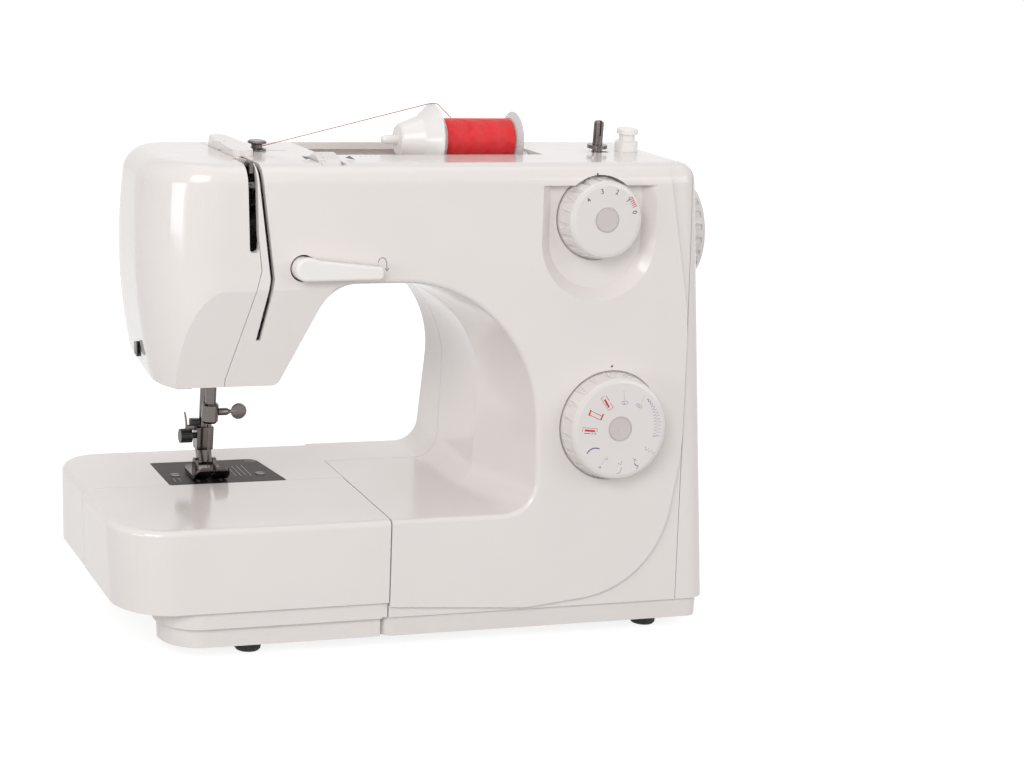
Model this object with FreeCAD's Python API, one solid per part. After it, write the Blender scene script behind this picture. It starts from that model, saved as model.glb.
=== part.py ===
import FreeCAD, Part
import math
import os

# Compact domestic free-arm sewing machine, millimetres.
# X runs from the needle end to the handwheel end, Y from front to back, Z up. The origin is on the table,
# under the middle of the object's box.

V = FreeCAD.Vector

# Casing, outer faces
FOOT_HEIGHT = 8.0
BODY_BOTTOM = 20.0
BED_TOP = 77.5
TOP_FRONT_Z = 280.0
TOP_FRONT_Y = -60.0
TOP_BACK_Y = 52.0
TOP_FALL = 0.05
FRONT_FOOT_Y = -83.0
FRONT_LEAN = 0.0904
BACK_FOOT_Y = 89.8
BACK_LEAN = 0.138
END_FOOT_X = 179.6
END_LEAN = 0.0684
HEAD_X = -161.0
HEAD_MID_Z = 225.0
HEAD_LEAN_DEG = 3.5
HEAD_SKEW_DEG = 5.0
HEAD_FRONT_ROUND = 28.0
HEAD_BACK_ROUND = 24.0
END_ROUND = 12.0
TOP_ROUND = 11.5
TOP_GAP = 0.05
WALL = 2.6
BED_WALL = 4.6
SEAM = 0.4
PART_Y = 44.0
END_SEAM_X = 158.0

# Throat between arm and bed, and the flare of its front edge
COLUMN_X = 48.0
ARM_UNDER_Z = 206.0
HEAD_BOTTOM_Z = 153.0
HEAD_RIGHT_X = -90.0
HEAD_SLOPE_TOP_X = -68.0
THROAT_LOW_ROUND = 14.0
THROAT_HIGH_ROUND = 70.0
HEAD_INNER_ROUND = 24.0
HEAD_CORNER_ROUND = 5.0
FLARE_SIDE = 21.0
FLARE_RISE = 12.0
FLARE_FRONT_Y = -95.0
FLARE_BACK_Y = -15.0
CREASE_ROUND = 3.0
SCOOP_TOP_Z = 211.0
SCOOP_FOOT_Y = -53.0
SCOOP_END_X = -62.0

# Raised front panel, stepped back along its lower right edge
PANEL_STEP = 2.2

# Free arm and extension table
ARM_LEFT_X = -185.0
ARM_LEFT_LEAN = 0.074
ARM_LEFT_REF_Z = 70.0
ARM_FRONT_Y = 8.7
ARM_BOTTOM_Z = 30.0
TABLE_SEAM_X = -25.0
BED_FRONT_ROUND = 32.0
BED_BACK_ROUND = 26.0
BED_EDGE_ROUND = 4.0
TABLE_GAP = 0.4
TABLE_WALL = 2.5
SKIRT_HIGH_Z = 29.5
SKIRT_LOW_Z = 19.5
SKIRT_HIGH_INSET = 2.5
SKIRT_LOW_INSET = 5.5
FLOOR_THICK = 3.0
FLOOR_GAP = 0.2
BASE_INSET = 4.0
BASE_LEFT_X = -28.0
FOOT_RADIUS = 8.0

# Spool trough and carrying handle
TROUGH_LEFT_X = -57.0
TROUGH_RIGHT_X = 80.0
TROUGH_FRONT_Y = -14.0
TROUGH_FLOOR_Z = 254.0
HANDLE_FRONT_Y = 44.0
HANDLE_BOTTOM_Z = 250.0
HANDLE_THICK = 4.0
HANDLE_GAP = 0.5
HANDLE_PIVOT_Y = 10.0
HANDLE_PIVOT_Z = 270.0
HANDLE_PIN_R = 2.5
EAR_THICK = 3.4
EAR_R = 5.5
PIN_FIT = 0.06

# Spool
SPOOL_Y = 10.0
SPOOL_Z = 282.5
SPOOL_PIN_R = 2.75
SPOOL_PIN_LEFT_X = -13.5
SPOOL_LEFT_X = 20.0
SPOOL_RIGHT_X = 71.0
SPOOL_FLANGE = 3.5
SPOOL_FLANGE_R = 16.5
SPOOL_CORE_R = 11.0
SPOOL_FIT = 0.35
THREAD_TURNS = 20
THREAD_TUBE_R = 0.75
THREAD_SEAT = 0.05
THREAD_END_GAP = 0.1
THREAD_PATH_R = SPOOL_CORE_R + THREAD_SEAT + THREAD_TUBE_R
THREAD_R = THREAD_PATH_R + THREAD_TUBE_R
CAP_LEFT_X = -3.0
CAP_SMALL_R = 9.5
CAP_RIM_R = 21.0
CAP_RIM = 3.0
CAP_HUB_X = 10.0
CAP_SPOOL_GAP = 0.4

# Shafts and drive
SHAFT_Y = 2.0
SHAFT_Z = 228.0
SHAFT_R = 6.0
SHAFT_FIT = 0.05
CRANK_X = -94.0
CRANK_THICK = 6.0
CRANK_R = 17.5
CRANK_THROW = 11.75
CRANK_PIN_R = 3.0
WHEEL_X = 185.0
WHEEL_THICK = 24.0
WHEEL_R = 31.0
WHEEL_GAP = 1.2
BELT_X = 144.0
BELT_WIDTH = 6.0
BELT_THICK = 2.0
BELT_FIT = 0.3
WHEEL_PULLEY_R = 27.0
MOTOR_PULLEY_R = 7.0
MOTOR_Y = 2.0
MOTOR_Z = 62.0
MOTOR_R = 27.0
MOTOR_LENGTH = 62.0
MOTOR_SHAFT_R = 3.0

# Main frame casting
FRAME_Y = 42.0
FRAME_THICK = 6.0
FRAME_TOP_Z = 246.0

# Needle and presser bars
NEEDLE_X = -106.0
NEEDLE_Y = 22.0
NEEDLE_BAR_R = 3.3
NEEDLE_BAR_LOW_Z = 120.0
NEEDLE_BAR_TOP_Z = 265.0
BAR_FIT = 0.05
CLAMP_LOW_Z = 111.0
CLAMP_HIGH_Z = 123.0
NEEDLE_R = 0.75
NEEDLE_SHANK_R = 1.0
NEEDLE_TIP_Z = 83.0
PRESSER_Y = 34.0
PRESSER_BAR_R = 3.0
PRESSER_LOW_Z = 96.0
PRESSER_TOP_Z = 260.0
GUIDE_LOW_Z = 156.8
GUIDE_HIGH_Z = 250.0
GUIDE_THICK = 7.0
FOOT_SOLE_Z = 78.1
FOOT_LENGTH = 29.0
FOOT_WIDTH = 21.0
BLOCK_Z = 199.0

# Needle plate and bobbin
PLATE_LEFT_X = -132.5
PLATE_RIGHT_X = -60.5
PLATE_BACK_Y = 54.5
PLATE_THICK = 2.0
PLATE_GAP = 0.2
HOOK_Z = 53.0
HOOK_R = 15.5
HOOK_BACK_Y = 33.0
RACE_R = 18.5
HOOK_FIT = 0.3
BOBBIN_R = 10.0
BOBBIN_WIDTH = 8.0
DOOR_HEIGHT = 33.0
DOOR_WIDTH = 62.0
DOOR_THICK = 2.0
DOOR_LOW_Z = 36.0
DOOR_GAP = 0.3

# Dials and front controls
LENGTH_DIAL_X = 97.5
LENGTH_DIAL_Z = 249.0
LENGTH_DIAL_R = 24.0
PATTERN_DIAL_X = 109.5
PATTERN_DIAL_Z = 128.0
PATTERN_DIAL_R = 31.5
DIAL_HEIGHT = 14.0
DIAL_SINK = 2.0
DIAL_CROWN = 2.0
DIAL_GAP = 1.0
DIAL_SHAFT_R = 5.0
FLUTES = 20
FLUTE_R = 2.2
DIAL_BUTTON_R = 7.0
WELL_DEPTH = 6.0
WELL_R = 36.0
WELL_FLARE = 7.0
WELL_TOP_Z = 268.0
LEVER_X = -82.0
LEVER_Z = 223.0
LEVER_HOLE_R = 7.6
LEVER_LENGTH = 45.0
TENSION_X = -63.0
TENSION_Y = -36.0
TENSION_Z = 264.0
TENSION_R = 19.0
TENSION_WIDTH = 13.0
TENSION_DISC_X = -103.5
TAKE_UP_X = -112.0
TAKE_UP_Y = -10.0
TAKE_UP_Z = 240.0
TAKE_UP_THICK = 2.0
SLOT_WIDTH = 5.4
THREAD_SLOT_WIDTH = 2.6

# Bobbin winder
WINDER_X = 120.0
WINDER_Y = -2.0
WINDER_R = 3.0
WINDER_STAND = 16.0
WINDER_TOP_Z = TOP_FRONT_Z + WINDER_STAND
WINDER_TRAVEL = 4.0
STOP_X = 141.0
STOP_Y = 2.0
STOP_R = 7.0

# Top thread guide
GUIDE_X = -103.0
GUIDE_Y = 8.0
STUD_X = -90.0
STUD_Y = 6.0
STUD_R = 5.5
THREAD_LINE_R = 0.25
THREAD_BEND_R = 3.0
THREAD_LIFT = 0.2

# Power switch and inlet in the end cover
SWITCH_Y = 42.0
SWITCH_Z = 72.0
INLET_Y = 40.0
INLET_Z = 45.0

# Presser lifter
LIFTER_X = -112.0
LIFTER_Y = 55.0
LIFTER_Z = 176.0
LIFTER_PIN_R = 2.0

# Sizes of the panel edge, openings, screws and inner pieces
PANEL_TOP_X = 142.0
PANEL_SIDE_X = 157.0
PANEL_SIDE_ROUND = 150.0
PANEL_LOW_ROUND = 62.0
DIAL_SHAFT_GAP = 0.4
DIAL_SHAFT = 14.0
LENGTH_DIAL_OUT = 10.0
HEAD_OPEN_LEFT_X = -146.0
HEAD_OPEN_RIGHT_X = -97.0
HEAD_OPEN_FRONT_Y = 10.0
HEAD_OPEN_BACK_Y = 46.0
LIFTER_SLOT = 15.0
LIFTER_CAM_R = 9.0
LIFTER_CAM_GAP = 0.9
LIFTER_RISE = 6.0
LIFTER_SWING = math.radians(75)
LIFTER_STEPS = 10
LIFTER_TIP_Z = 122.0
PLATE_LEDGE = 4.0
PLATE_TAPER = 6.5
PLATE_ROUND = 6.0
PLATE_SCREWS = ((-124.0, 28.0), (-72.5, 24.0))
PLATE_SCREW_R = 3.0
DOOR_PIN_R = 1.0
DOOR_PIVOT_Y = 9.9
DOOR_PIVOT_Z = 38.0
SWITCH_LONG = 13.5
SWITCH_HIGH = 19.0
INLET_LONG = 40.0
INLET_HIGH = 22.0
SCREW_PLACES = ((128.0, 236.0), (128.0, 58.0), (-150.0, 54.0))
SCREW_HEAD_R = 3.6
SCREW_HEAD_HIGH = 2.0
SCREW_R = 1.8
SCREW_GAP = 0.3
SLOT_FOOT_Z = 232.0
SLOT_BACK_Y = -27.0
THREAD_SLOT_BACK_Y = 9.5
RING_RADII = (25.0, 20.0, 15.0, 10.0)
RING_WIDTH = 2.0
RING_DEPTH = 0.8
RING_Y = -36.0
RING_Z = 85.0
BASE_FLOOR = 3.0
LIP_INSET = 2.4
VENT_COUNT = 7
VENT_X = 70.0
VENT_PITCH = 8.0
FEED_ROWS = ((-113.0, 15.0, 33.0), (-99.0, 15.0, 33.0), (-106.0, 27.0, 33.0))
FEED_WIDTH = 2.0
FEED_GAP = 0.5
FEED_TRAVEL = 1.8
FEED_PITCH = 1.5
FEED_TOP_Z = 77.3
FEED_BAR_Y = 36.0
FEED_BAR_RIGHT_X = -40.0
FRAME_LEFT_X = -126.0
FRAME_RIGHT_X = 150.0
FRAME_COLUMN_X = 62.0
FRAME_ARM_LOW_Z = 212.0
FRAME_BED_LOW_Z = 34.0
FRAME_BED_TOP_Z = 64.0
FRAME_HEAD_TOP_Z = 267.0
FRAME_HEAD_RIGHT_X = -62.0
BEARING_XS = (-60.0, 118.0)
BEARING_LENGTH = 16.0
BEARING_R = 11.0
CRANK_REST_DEG = 60.7
CRANK_PIN_LENGTH = 2.5
LINK_X = -100.2
LINK_THICK = 3.0
PULLEY_SIDE = 2.0
WHEEL_FLUTES = 24
MOTOR_X = 72.0
TAKE_UP_PIN_R = 2.5
TAKE_UP_TIP_Y = -53.0
TAKE_UP_TIP_Z = 281.0
TENSION_STUD_R = 2.5
TENSION_NOTCHES = 32
WINDER_SHELF_Z = 250.0
TYRE_R = 12.0
HOOK_FRONT_Y = 23.2
HOOK_SHAFT_R = 4.0
HOOK_RIM_IN_R = 12.4
RACE_PILLAR_R = 3.0
CASE_PIN_R = 1.5
CASE_FRONT_Y = 14.0
CASE_DEPTH = 11.0
CASE_R = 11.0
CASE_WALL = 0.6
CASE_TUBE_R = 2.2
CLAMP_R = 5.0
CLAMP_SCREW_R = 1.6
CLAMP_SCREW_Z = 117.5
COLLAR_Z = 204.0
HOLDER_LOW_Z = 92.0
HOLDER_TOP_Z = 106.0
FOOT_PIVOT_Y = 29.0
FOOT_PIVOT_Z = 85.0
FOOT_SOLE = 2.2
THUMB_SCREW_Z = 100.0
CAM_COUNT = 5
CAM_PITCH = 6.0
CAM_THICK = 4.0
CAM_R = 19.0
CAM_LOBES = 5
LEVER_SHAFT_R = 6.6
LEVER_OUT = 9.0
LEVER_LIFT = 1.0
LEVER_DEPTH = 30.0
LEVER_DROP = 3.0
LEVER_EDGE = 1.8
GUIDE_HIGH = 7.0
GUIDE_SINK = 2.0
STUD_NECK_R = 3.2
STUD_THREAD_Z = 279.4
CUTTER_Y = -6.0
CUTTER_Z = 165.0
LAMP_X = -137.0
LAMP_Y = 26.0
BASE_FEET = ((147.0, -62.0), (140.0, 70.0), (-15.0, 70.0), (-15.0, -35.0))
TABLE_FOOT = (-103.0, -62.0)


def box(x0, x1, y0, y1, z0, z1):
    """Box between two corners."""
    return Part.makeBox(x1 - x0, y1 - y0, z1 - z0, V(x0, y0, z0))


def rod_x(radius, x0, x1, y, z):
    """Round bar along X."""
    return Part.makeCylinder(radius, x1 - x0, V(x0, y, z), V(1, 0, 0))


def rod_y(radius, y0, y1, x, z):
    """Round bar along Y."""
    return Part.makeCylinder(radius, y1 - y0, V(x, y0, z), V(0, 1, 0))


def rod_z(radius, z0, z1, x, y):
    """Round bar along Z."""
    return Part.makeCylinder(radius, z1 - z0, V(x, y, z0), V(0, 0, 1))


def rounded_wire(corners, radii):
    """Closed outline through the corners, each rounded by its own radius (0 keeps it sharp)."""
    count = len(corners)
    arcs = []
    for i in range(count):
        here = corners[i]
        back = (corners[i - 1] - here).normalize()
        ahead = (corners[(i + 1) % count] - here).normalize()
        if radii[i] == 0:
            arcs.append((here, here, here))
            continue
        half = back.getAngle(ahead) / 2
        reach = radii[i] / math.tan(half)
        inward = (back + ahead).normalize()
        middle = here + inward * (radii[i] / math.sin(half) - radii[i])
        arcs.append((here + back * reach, middle, here + ahead * reach))
    edges = []
    for i in range(count):
        start, middle, end = arcs[i]
        if radii[i] > 0:
            edges.append(Part.Arc(start, middle, end).toShape())
        following = arcs[(i + 1) % count][0]
        if end.distanceToPoint(following) > 1e-6:
            edges.append(Part.LineSegment(end, following).toShape())
    return Part.Wire(edges)


def prism(corners, radii, along):
    """Rounded outline pushed along a vector."""
    if not isinstance(radii, list):
        radii = [radii] * len(corners)
    return Part.Face(rounded_wire(corners, radii)).extrude(along)


def prism_xz(points, radii, y0, y1):
    """Front-view outline pushed along Y."""
    return prism([V(x, y0, z) for x, z in points], radii, V(0, y1 - y0, 0))


def prism_yz(points, radii, x0, x1):
    """End-view outline pushed along X."""
    return prism([V(x0, y, z) for y, z in points], radii, V(x1 - x0, 0, 0))


def prism_xy(points, radii, z0, z1):
    """Plan-view outline pushed along Z."""
    return prism([V(x, y, z0) for x, y in points], radii, V(0, 0, z1 - z0))


def revolve_z(profile, x, y):
    """Turned piece: (radius, z) profile about a vertical axis."""
    points = [V(x + r, y, z) for r, z in profile]
    face = Part.Face(Part.makePolygon(points + points[:1]))
    return face.revolve(V(x, y, 0), V(0, 0, 1), 360)


def revolve_x(profile, y, z):
    """Turned piece: (x, radius) profile about an axis along X."""
    points = [V(x, y, z + r) for x, r in profile]
    face = Part.Face(Part.makePolygon(points + points[:1]))
    return face.revolve(V(0, y, z), V(1, 0, 0), 360)


def revolve_y(profile, x, z):
    """Turned piece: (y, radius) profile about an axis along Y."""
    points = [V(x, y, z + r) for y, r in profile]
    face = Part.Face(Part.makePolygon(points + points[:1]))
    return face.revolve(V(x, 0, z), V(0, 1, 0), 360)


def middle(edge):
    """Point halfway along an edge."""
    return edge.valueAt((edge.FirstParameter + edge.LastParameter) / 2)


def edges_of(shape, test):
    """Edges that pass a test."""
    return [edge for edge in shape.Edges if test(edge)]


def is_upright(edge):
    """True for an edge that runs mostly up and down."""
    return abs(edge.tangentAt(edge.FirstParameter).z) > 0.9


def front_y(z, inset=0.0):
    """Front face of the casing at a height."""
    return FRONT_FOOT_Y + FRONT_LEAN * (z - BODY_BOTTOM) + inset


def back_y(z, inset=0.0):
    """Back face of the casing at a height."""
    return BACK_FOOT_Y - BACK_LEAN * (z - BODY_BOTTOM) - inset


def end_x(z, inset=0.0):
    """Handwheel end of the casing at a height."""
    return END_FOOT_X - END_LEAN * (z - BODY_BOTTOM) - inset


def arm_left_x(z, inset=0.0):
    """Free end of the bed at a height."""
    return ARM_LEFT_X + ARM_LEFT_LEAN * (ARM_LEFT_REF_Z - z) + inset


def top_z(y, inset=0.0):
    """Top of the casing, which falls a little towards the back."""
    return TOP_FRONT_Z - TOP_FALL * (y - TOP_FRONT_Y) - inset


def edge_z(foot_y, lean, inset):
    """Height at which a leaning face, given by its foot and lean, meets the top."""
    level = TOP_FRONT_Z - inset - TOP_FALL * (foot_y - lean * BODY_BOTTOM - TOP_FRONT_Y)
    return level / (1 + TOP_FALL * lean)


def above_top(shape, gap):
    """Keep what lies above the sloping top of the casing."""
    far = 2 * END_FOOT_X
    room = box(-far, far, -far, far, 0, far)
    room.rotate(V(0, TOP_FRONT_Y, 0), V(1, 0, 0), -math.degrees(math.atan(TOP_FALL)))
    room.translate(V(0, 0, TOP_FRONT_Z + gap))
    return shape.common(room)


def casing_block(inset, front_inset, bottom_z):
    """The whole upper casing before the throat is cut: a leaning block with rounded edges."""
    high_front = edge_z(FRONT_FOOT_Y + front_inset, FRONT_LEAN, inset)
    high_back = edge_z(BACK_FOOT_Y - inset, -BACK_LEAN, inset)
    profile = [
        (front_y(bottom_z, front_inset), bottom_z),
        (back_y(bottom_z, inset), bottom_z),
        (back_y(high_back, inset), high_back),
        (front_y(high_front, front_inset), high_front),
    ]
    far = 2 * END_FOOT_X
    block = prism_yz(profile, 0, -far, far)
    beyond = TOP_FRONT_Z + 2 * TOP_ROUND
    ends = [(-far, bottom_z), (end_x(bottom_z, inset), bottom_z), (end_x(beyond, inset), beyond),
            (-far, beyond)]
    block = block.common(prism_xz(ends, 0, -far, far))
    outside = box(-far, 0, -far, far, -far, far)
    outside.rotate(V(0, 0, 0), V(0, 1, 0), -HEAD_LEAN_DEG)
    outside.rotate(V(0, 0, 0), V(0, 0, 1), -HEAD_SKEW_DEG)
    outside.translate(V(HEAD_X + inset, 0, HEAD_MID_Z))
    block = block.cut(outside)
    uprights = edges_of(block, is_upright)
    block = block.makeFillet(HEAD_FRONT_ROUND - inset, [e for e in uprights if middle(e).x < 0 > middle(e).y])
    uprights = edges_of(block, lambda e: is_upright(e) and e.Curve.TypeId == "Part::GeomLine")
    block = block.makeFillet(HEAD_BACK_ROUND - inset,
                             [e for e in uprights if middle(e).x < 0 and middle(e).y > PART_Y])
    end_edges = edges_of(block, lambda e: is_upright(e) and middle(e).x > COLUMN_X)
    block = block.makeFillet(END_ROUND - inset, end_edges)
    rim = edges_of(block, lambda e: e.BoundBox.ZMin > top_z(TOP_BACK_Y) - TOP_ROUND - inset)
    return block.makeFillet(TOP_ROUND - inset, rim)


def throat_corners(side, rise, grow, floor_grow, y):
    """Front-view corners and radii of the throat, widened for the flare or grown by a wall."""
    slope = (ARM_UNDER_Z - HEAD_BOTTOM_Z) / (HEAD_SLOPE_TOP_X - HEAD_RIGHT_X)
    far = -2 * END_FOOT_X
    roof = ARM_UNDER_Z + rise + grow
    wall = COLUMN_X + side + grow
    floor = BED_TOP - floor_grow
    head = HEAD_RIGHT_X - grow
    points = [
        (far, floor),
        (wall, floor),
        (wall, roof),
        (head + (roof - HEAD_BOTTOM_Z - grow) / slope, roof),
        (head, HEAD_BOTTOM_Z + grow),
        (far, HEAD_BOTTOM_Z + grow),
    ]
    radii = [0, THROAT_LOW_ROUND + side / 3, THROAT_HIGH_ROUND + side, HEAD_INNER_ROUND, HEAD_CORNER_ROUND, 0]
    return [V(x, y, z) for x, z in points], radii


def throat_space(grow=0.0, floor_grow=0.0):
    """Space between arm, column and bed, with its front edge flared towards the user."""
    far = 2 * BACK_FOOT_Y
    corners, radii = throat_corners(0, 0, grow, floor_grow, -far)
    straight = prism(corners, radii, V(0, 2 * far, 0))
    wide = rounded_wire(*throat_corners(FLARE_SIDE, FLARE_RISE, grow, floor_grow, FLARE_FRONT_Y))
    narrow = rounded_wire(*throat_corners(0, 0, grow, floor_grow, FLARE_BACK_Y))
    return straight.fuse(Part.makeLoft([wide, narrow], True, True))


def head_scoop(grow=0.0):
    """Wedge taken off the lower front of the head, so that the needle can be seen."""
    far = 2 * END_FOOT_X
    low = HEAD_BOTTOM_Z - WALL
    slope = (SCOOP_FOOT_Y - front_y(SCOOP_TOP_Z)) / (SCOOP_TOP_Z - HEAD_BOTTOM_Z)
    foot = SCOOP_FOOT_Y + slope * (HEAD_BOTTOM_Z - low) + grow
    top = front_y(SCOOP_TOP_Z) + grow
    return prism_yz([(-far, low), (foot, low), (top, SCOOP_TOP_Z), (-far, SCOOP_TOP_Z)], 0, -far,
                    SCOOP_END_X + grow)


def bed_block(inset, top_inset, bottom_z):
    """Rounded block of the free arm and extension table together."""
    top = BED_TOP - top_inset
    profile = [
        (front_y(bottom_z, inset), bottom_z),
        (back_y(bottom_z, inset), bottom_z),
        (back_y(top, inset), top),
        (front_y(top, inset), top),
    ]
    far = 2 * END_FOOT_X
    block = prism_yz(profile, 0, -far, COLUMN_X)
    left = [(arm_left_x(0, inset), 0), (COLUMN_X, 0), (COLUMN_X, far), (arm_left_x(far, inset), far)]
    block = block.common(prism_xz(left, 0, -far, far))
    uprights = edges_of(block, lambda e: is_upright(e) and middle(e).x < TABLE_SEAM_X)
    block = block.makeFillet(BED_FRONT_ROUND - inset, [e for e in uprights if middle(e).y < 0])
    uprights = edges_of(block, lambda e: is_upright(e) and e.Curve.TypeId == "Part::GeomLine")
    block = block.makeFillet(BED_BACK_ROUND - inset, [e for e in uprights if middle(e).x < TABLE_SEAM_X
                                                      and middle(e).y > PART_Y])
    rim = edges_of(block, lambda e: e.BoundBox.ZMin > top - 0.1 and middle(e).x < COLUMN_X - 0.1)
    return block.makeFillet(BED_EDGE_ROUND, rim)


def upper_body(inset, front_inset, grow, floor_grow, bottom_z):
    """Head, arm and column as one solid, or its cavity when inset."""
    body = casing_block(inset, front_inset, bottom_z).cut(throat_space(grow, floor_grow))
    body = body.cut(head_scoop(grow))
    far = 2 * END_FOOT_X
    return body.cut(box(-far, TABLE_SEAM_X + grow, -far, far, -far, HEAD_BOTTOM_Z - 1))


def soften_crease(body):
    """Round the flared front edge of the throat."""
    def on_crease(edge):
        point = middle(edge)
        across = SCOOP_END_X < point.x < COLUMN_X + FLARE_SIDE + 2
        upright = BED_TOP - 2 < point.z < ARM_UNDER_Z + FLARE_RISE
        return across and upright and abs(point.y - front_y(point.z)) < 0.6
    return body.makeFillet(CREASE_ROUND, edges_of(body, on_crease))


def trough_space(grow=0.0):
    """Spool trough in the top, with the seat of the carrying handle behind it."""
    far = 2 * TOP_FRONT_Z
    left = TROUGH_LEFT_X - grow
    right = TROUGH_RIGHT_X + grow
    trough = box(left, right, TROUGH_FRONT_Y - grow, far, TROUGH_FLOOR_Z - grow, far)
    seat_y = HANDLE_FRONT_Y - HANDLE_GAP - grow
    return trough.fuse(box(left, right, seat_y, far, HANDLE_BOTTOM_Z - HANDLE_GAP - grow, far))


def facing(shape, x, z):
    """Move a piece drawn about the Y axis at the origin to a point of the leaning front face."""
    shape.rotate(V(0, 0, 0), V(1, 0, 0), -math.degrees(math.atan(FRONT_LEAN)))
    shape.translate(V(x, front_y(z), z))
    return shape


def dial_well(radius, depth):
    """Round well in the front face, drawn about the Y axis with its mouth at Y 0."""
    return rod_y(radius, -2 * DIAL_HEIGHT, depth, 0, 0)


def length_well(grow=0.0):
    """Flared U-shaped thumb well round the stitch length dial."""
    def outline(radius, y):
        top = WELL_TOP_Z - LENGTH_DIAL_Z
        low = LENGTH_DIAL_R - WELL_R
        points = [V(-radius, y, top), V(-radius, y, low - radius), V(radius, y, low - radius),
                  V(radius, y, top)]
        return rounded_wire(points, [0, radius * 0.98, radius * 0.98, 0])
    inner = outline(WELL_R - WELL_FLARE + grow, WELL_DEPTH + grow)
    outer = outline(WELL_R + WELL_FLARE / WELL_DEPTH * DIAL_SINK + grow, -DIAL_SINK)
    return facing(Part.makeLoft([outer, inner], True, True), LENGTH_DIAL_X, LENGTH_DIAL_Z)


def panel_edge():
    """Area outside the raised front panel: right strip and lower sweep."""
    far = 2 * END_FOOT_X
    points = [
        (PANEL_TOP_X, far), (PANEL_TOP_X, TOP_FRONT_Z - 7), (PANEL_SIDE_X, 190.0), (PANEL_SIDE_X, 110.0),
        (PANEL_TOP_X, 30.0), (60.0, 21.5), (TABLE_SEAM_X - 2, 27.0), (TABLE_SEAM_X - 2, -far), (far,
                                                                                                -far), (far,
                                                                                                far),
    ]
    radii = [0, 0, PANEL_SIDE_ROUND, PANEL_SIDE_ROUND, PANEL_LOW_ROUND, 0, 0, 0, 0, 0]
    return prism_xz(points, radii, -far, 0)


def step_panel(body):
    """Set the casing back a little outside the raised front panel."""
    return body.cut(panel_edge().cut(casing_block(0, PANEL_STEP, BODY_BOTTOM)))


def casing():
    """Hollow casing in one piece, before it is split into covers."""
    outer = upper_body(0, 0, 0, 0, BODY_BOTTOM)
    outer = soften_crease(outer)
    far = 2 * END_FOOT_X
    arm = bed_block(0, 0, ARM_BOTTOM_Z).common(box(-far, TABLE_SEAM_X, ARM_FRONT_Y, far, 0, far))
    outer = outer.fuse(arm)
    outer = outer.cut(length_well())
    deep = WELL_DEPTH + DIAL_SINK
    outer = outer.cut(facing(dial_well(LENGTH_DIAL_R + DIAL_GAP, deep), LENGTH_DIAL_X, LENGTH_DIAL_Z))
    outer = outer.cut(facing(dial_well(PATTERN_DIAL_R + DIAL_GAP, DIAL_SINK), PATTERN_DIAL_X, PATTERN_DIAL_Z))
    outer = step_panel(outer.cut(trough_space()))
    hollow = upper_body(WALL, WALL + PANEL_STEP, WALL, BED_WALL, -far)
    arm_hollow = bed_block(WALL, BED_WALL, 0).common(box(-far, COLUMN_X, ARM_FRONT_Y + WALL, far, 0, far))
    hollow = hollow.fuse(arm_hollow)
    hollow = hollow.cut(length_well(WALL))
    around = LENGTH_DIAL_R + DIAL_GAP + WALL
    hollow = hollow.cut(facing(dial_well(around, deep + WALL), LENGTH_DIAL_X, LENGTH_DIAL_Z))
    around = PATTERN_DIAL_R + DIAL_GAP + WALL
    hollow = hollow.cut(facing(dial_well(around, DIAL_SINK + WALL), PATTERN_DIAL_X, PATTERN_DIAL_Z))
    hollow = hollow.cut(trough_space(WALL))
    return outer.cut(hollow)


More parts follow.
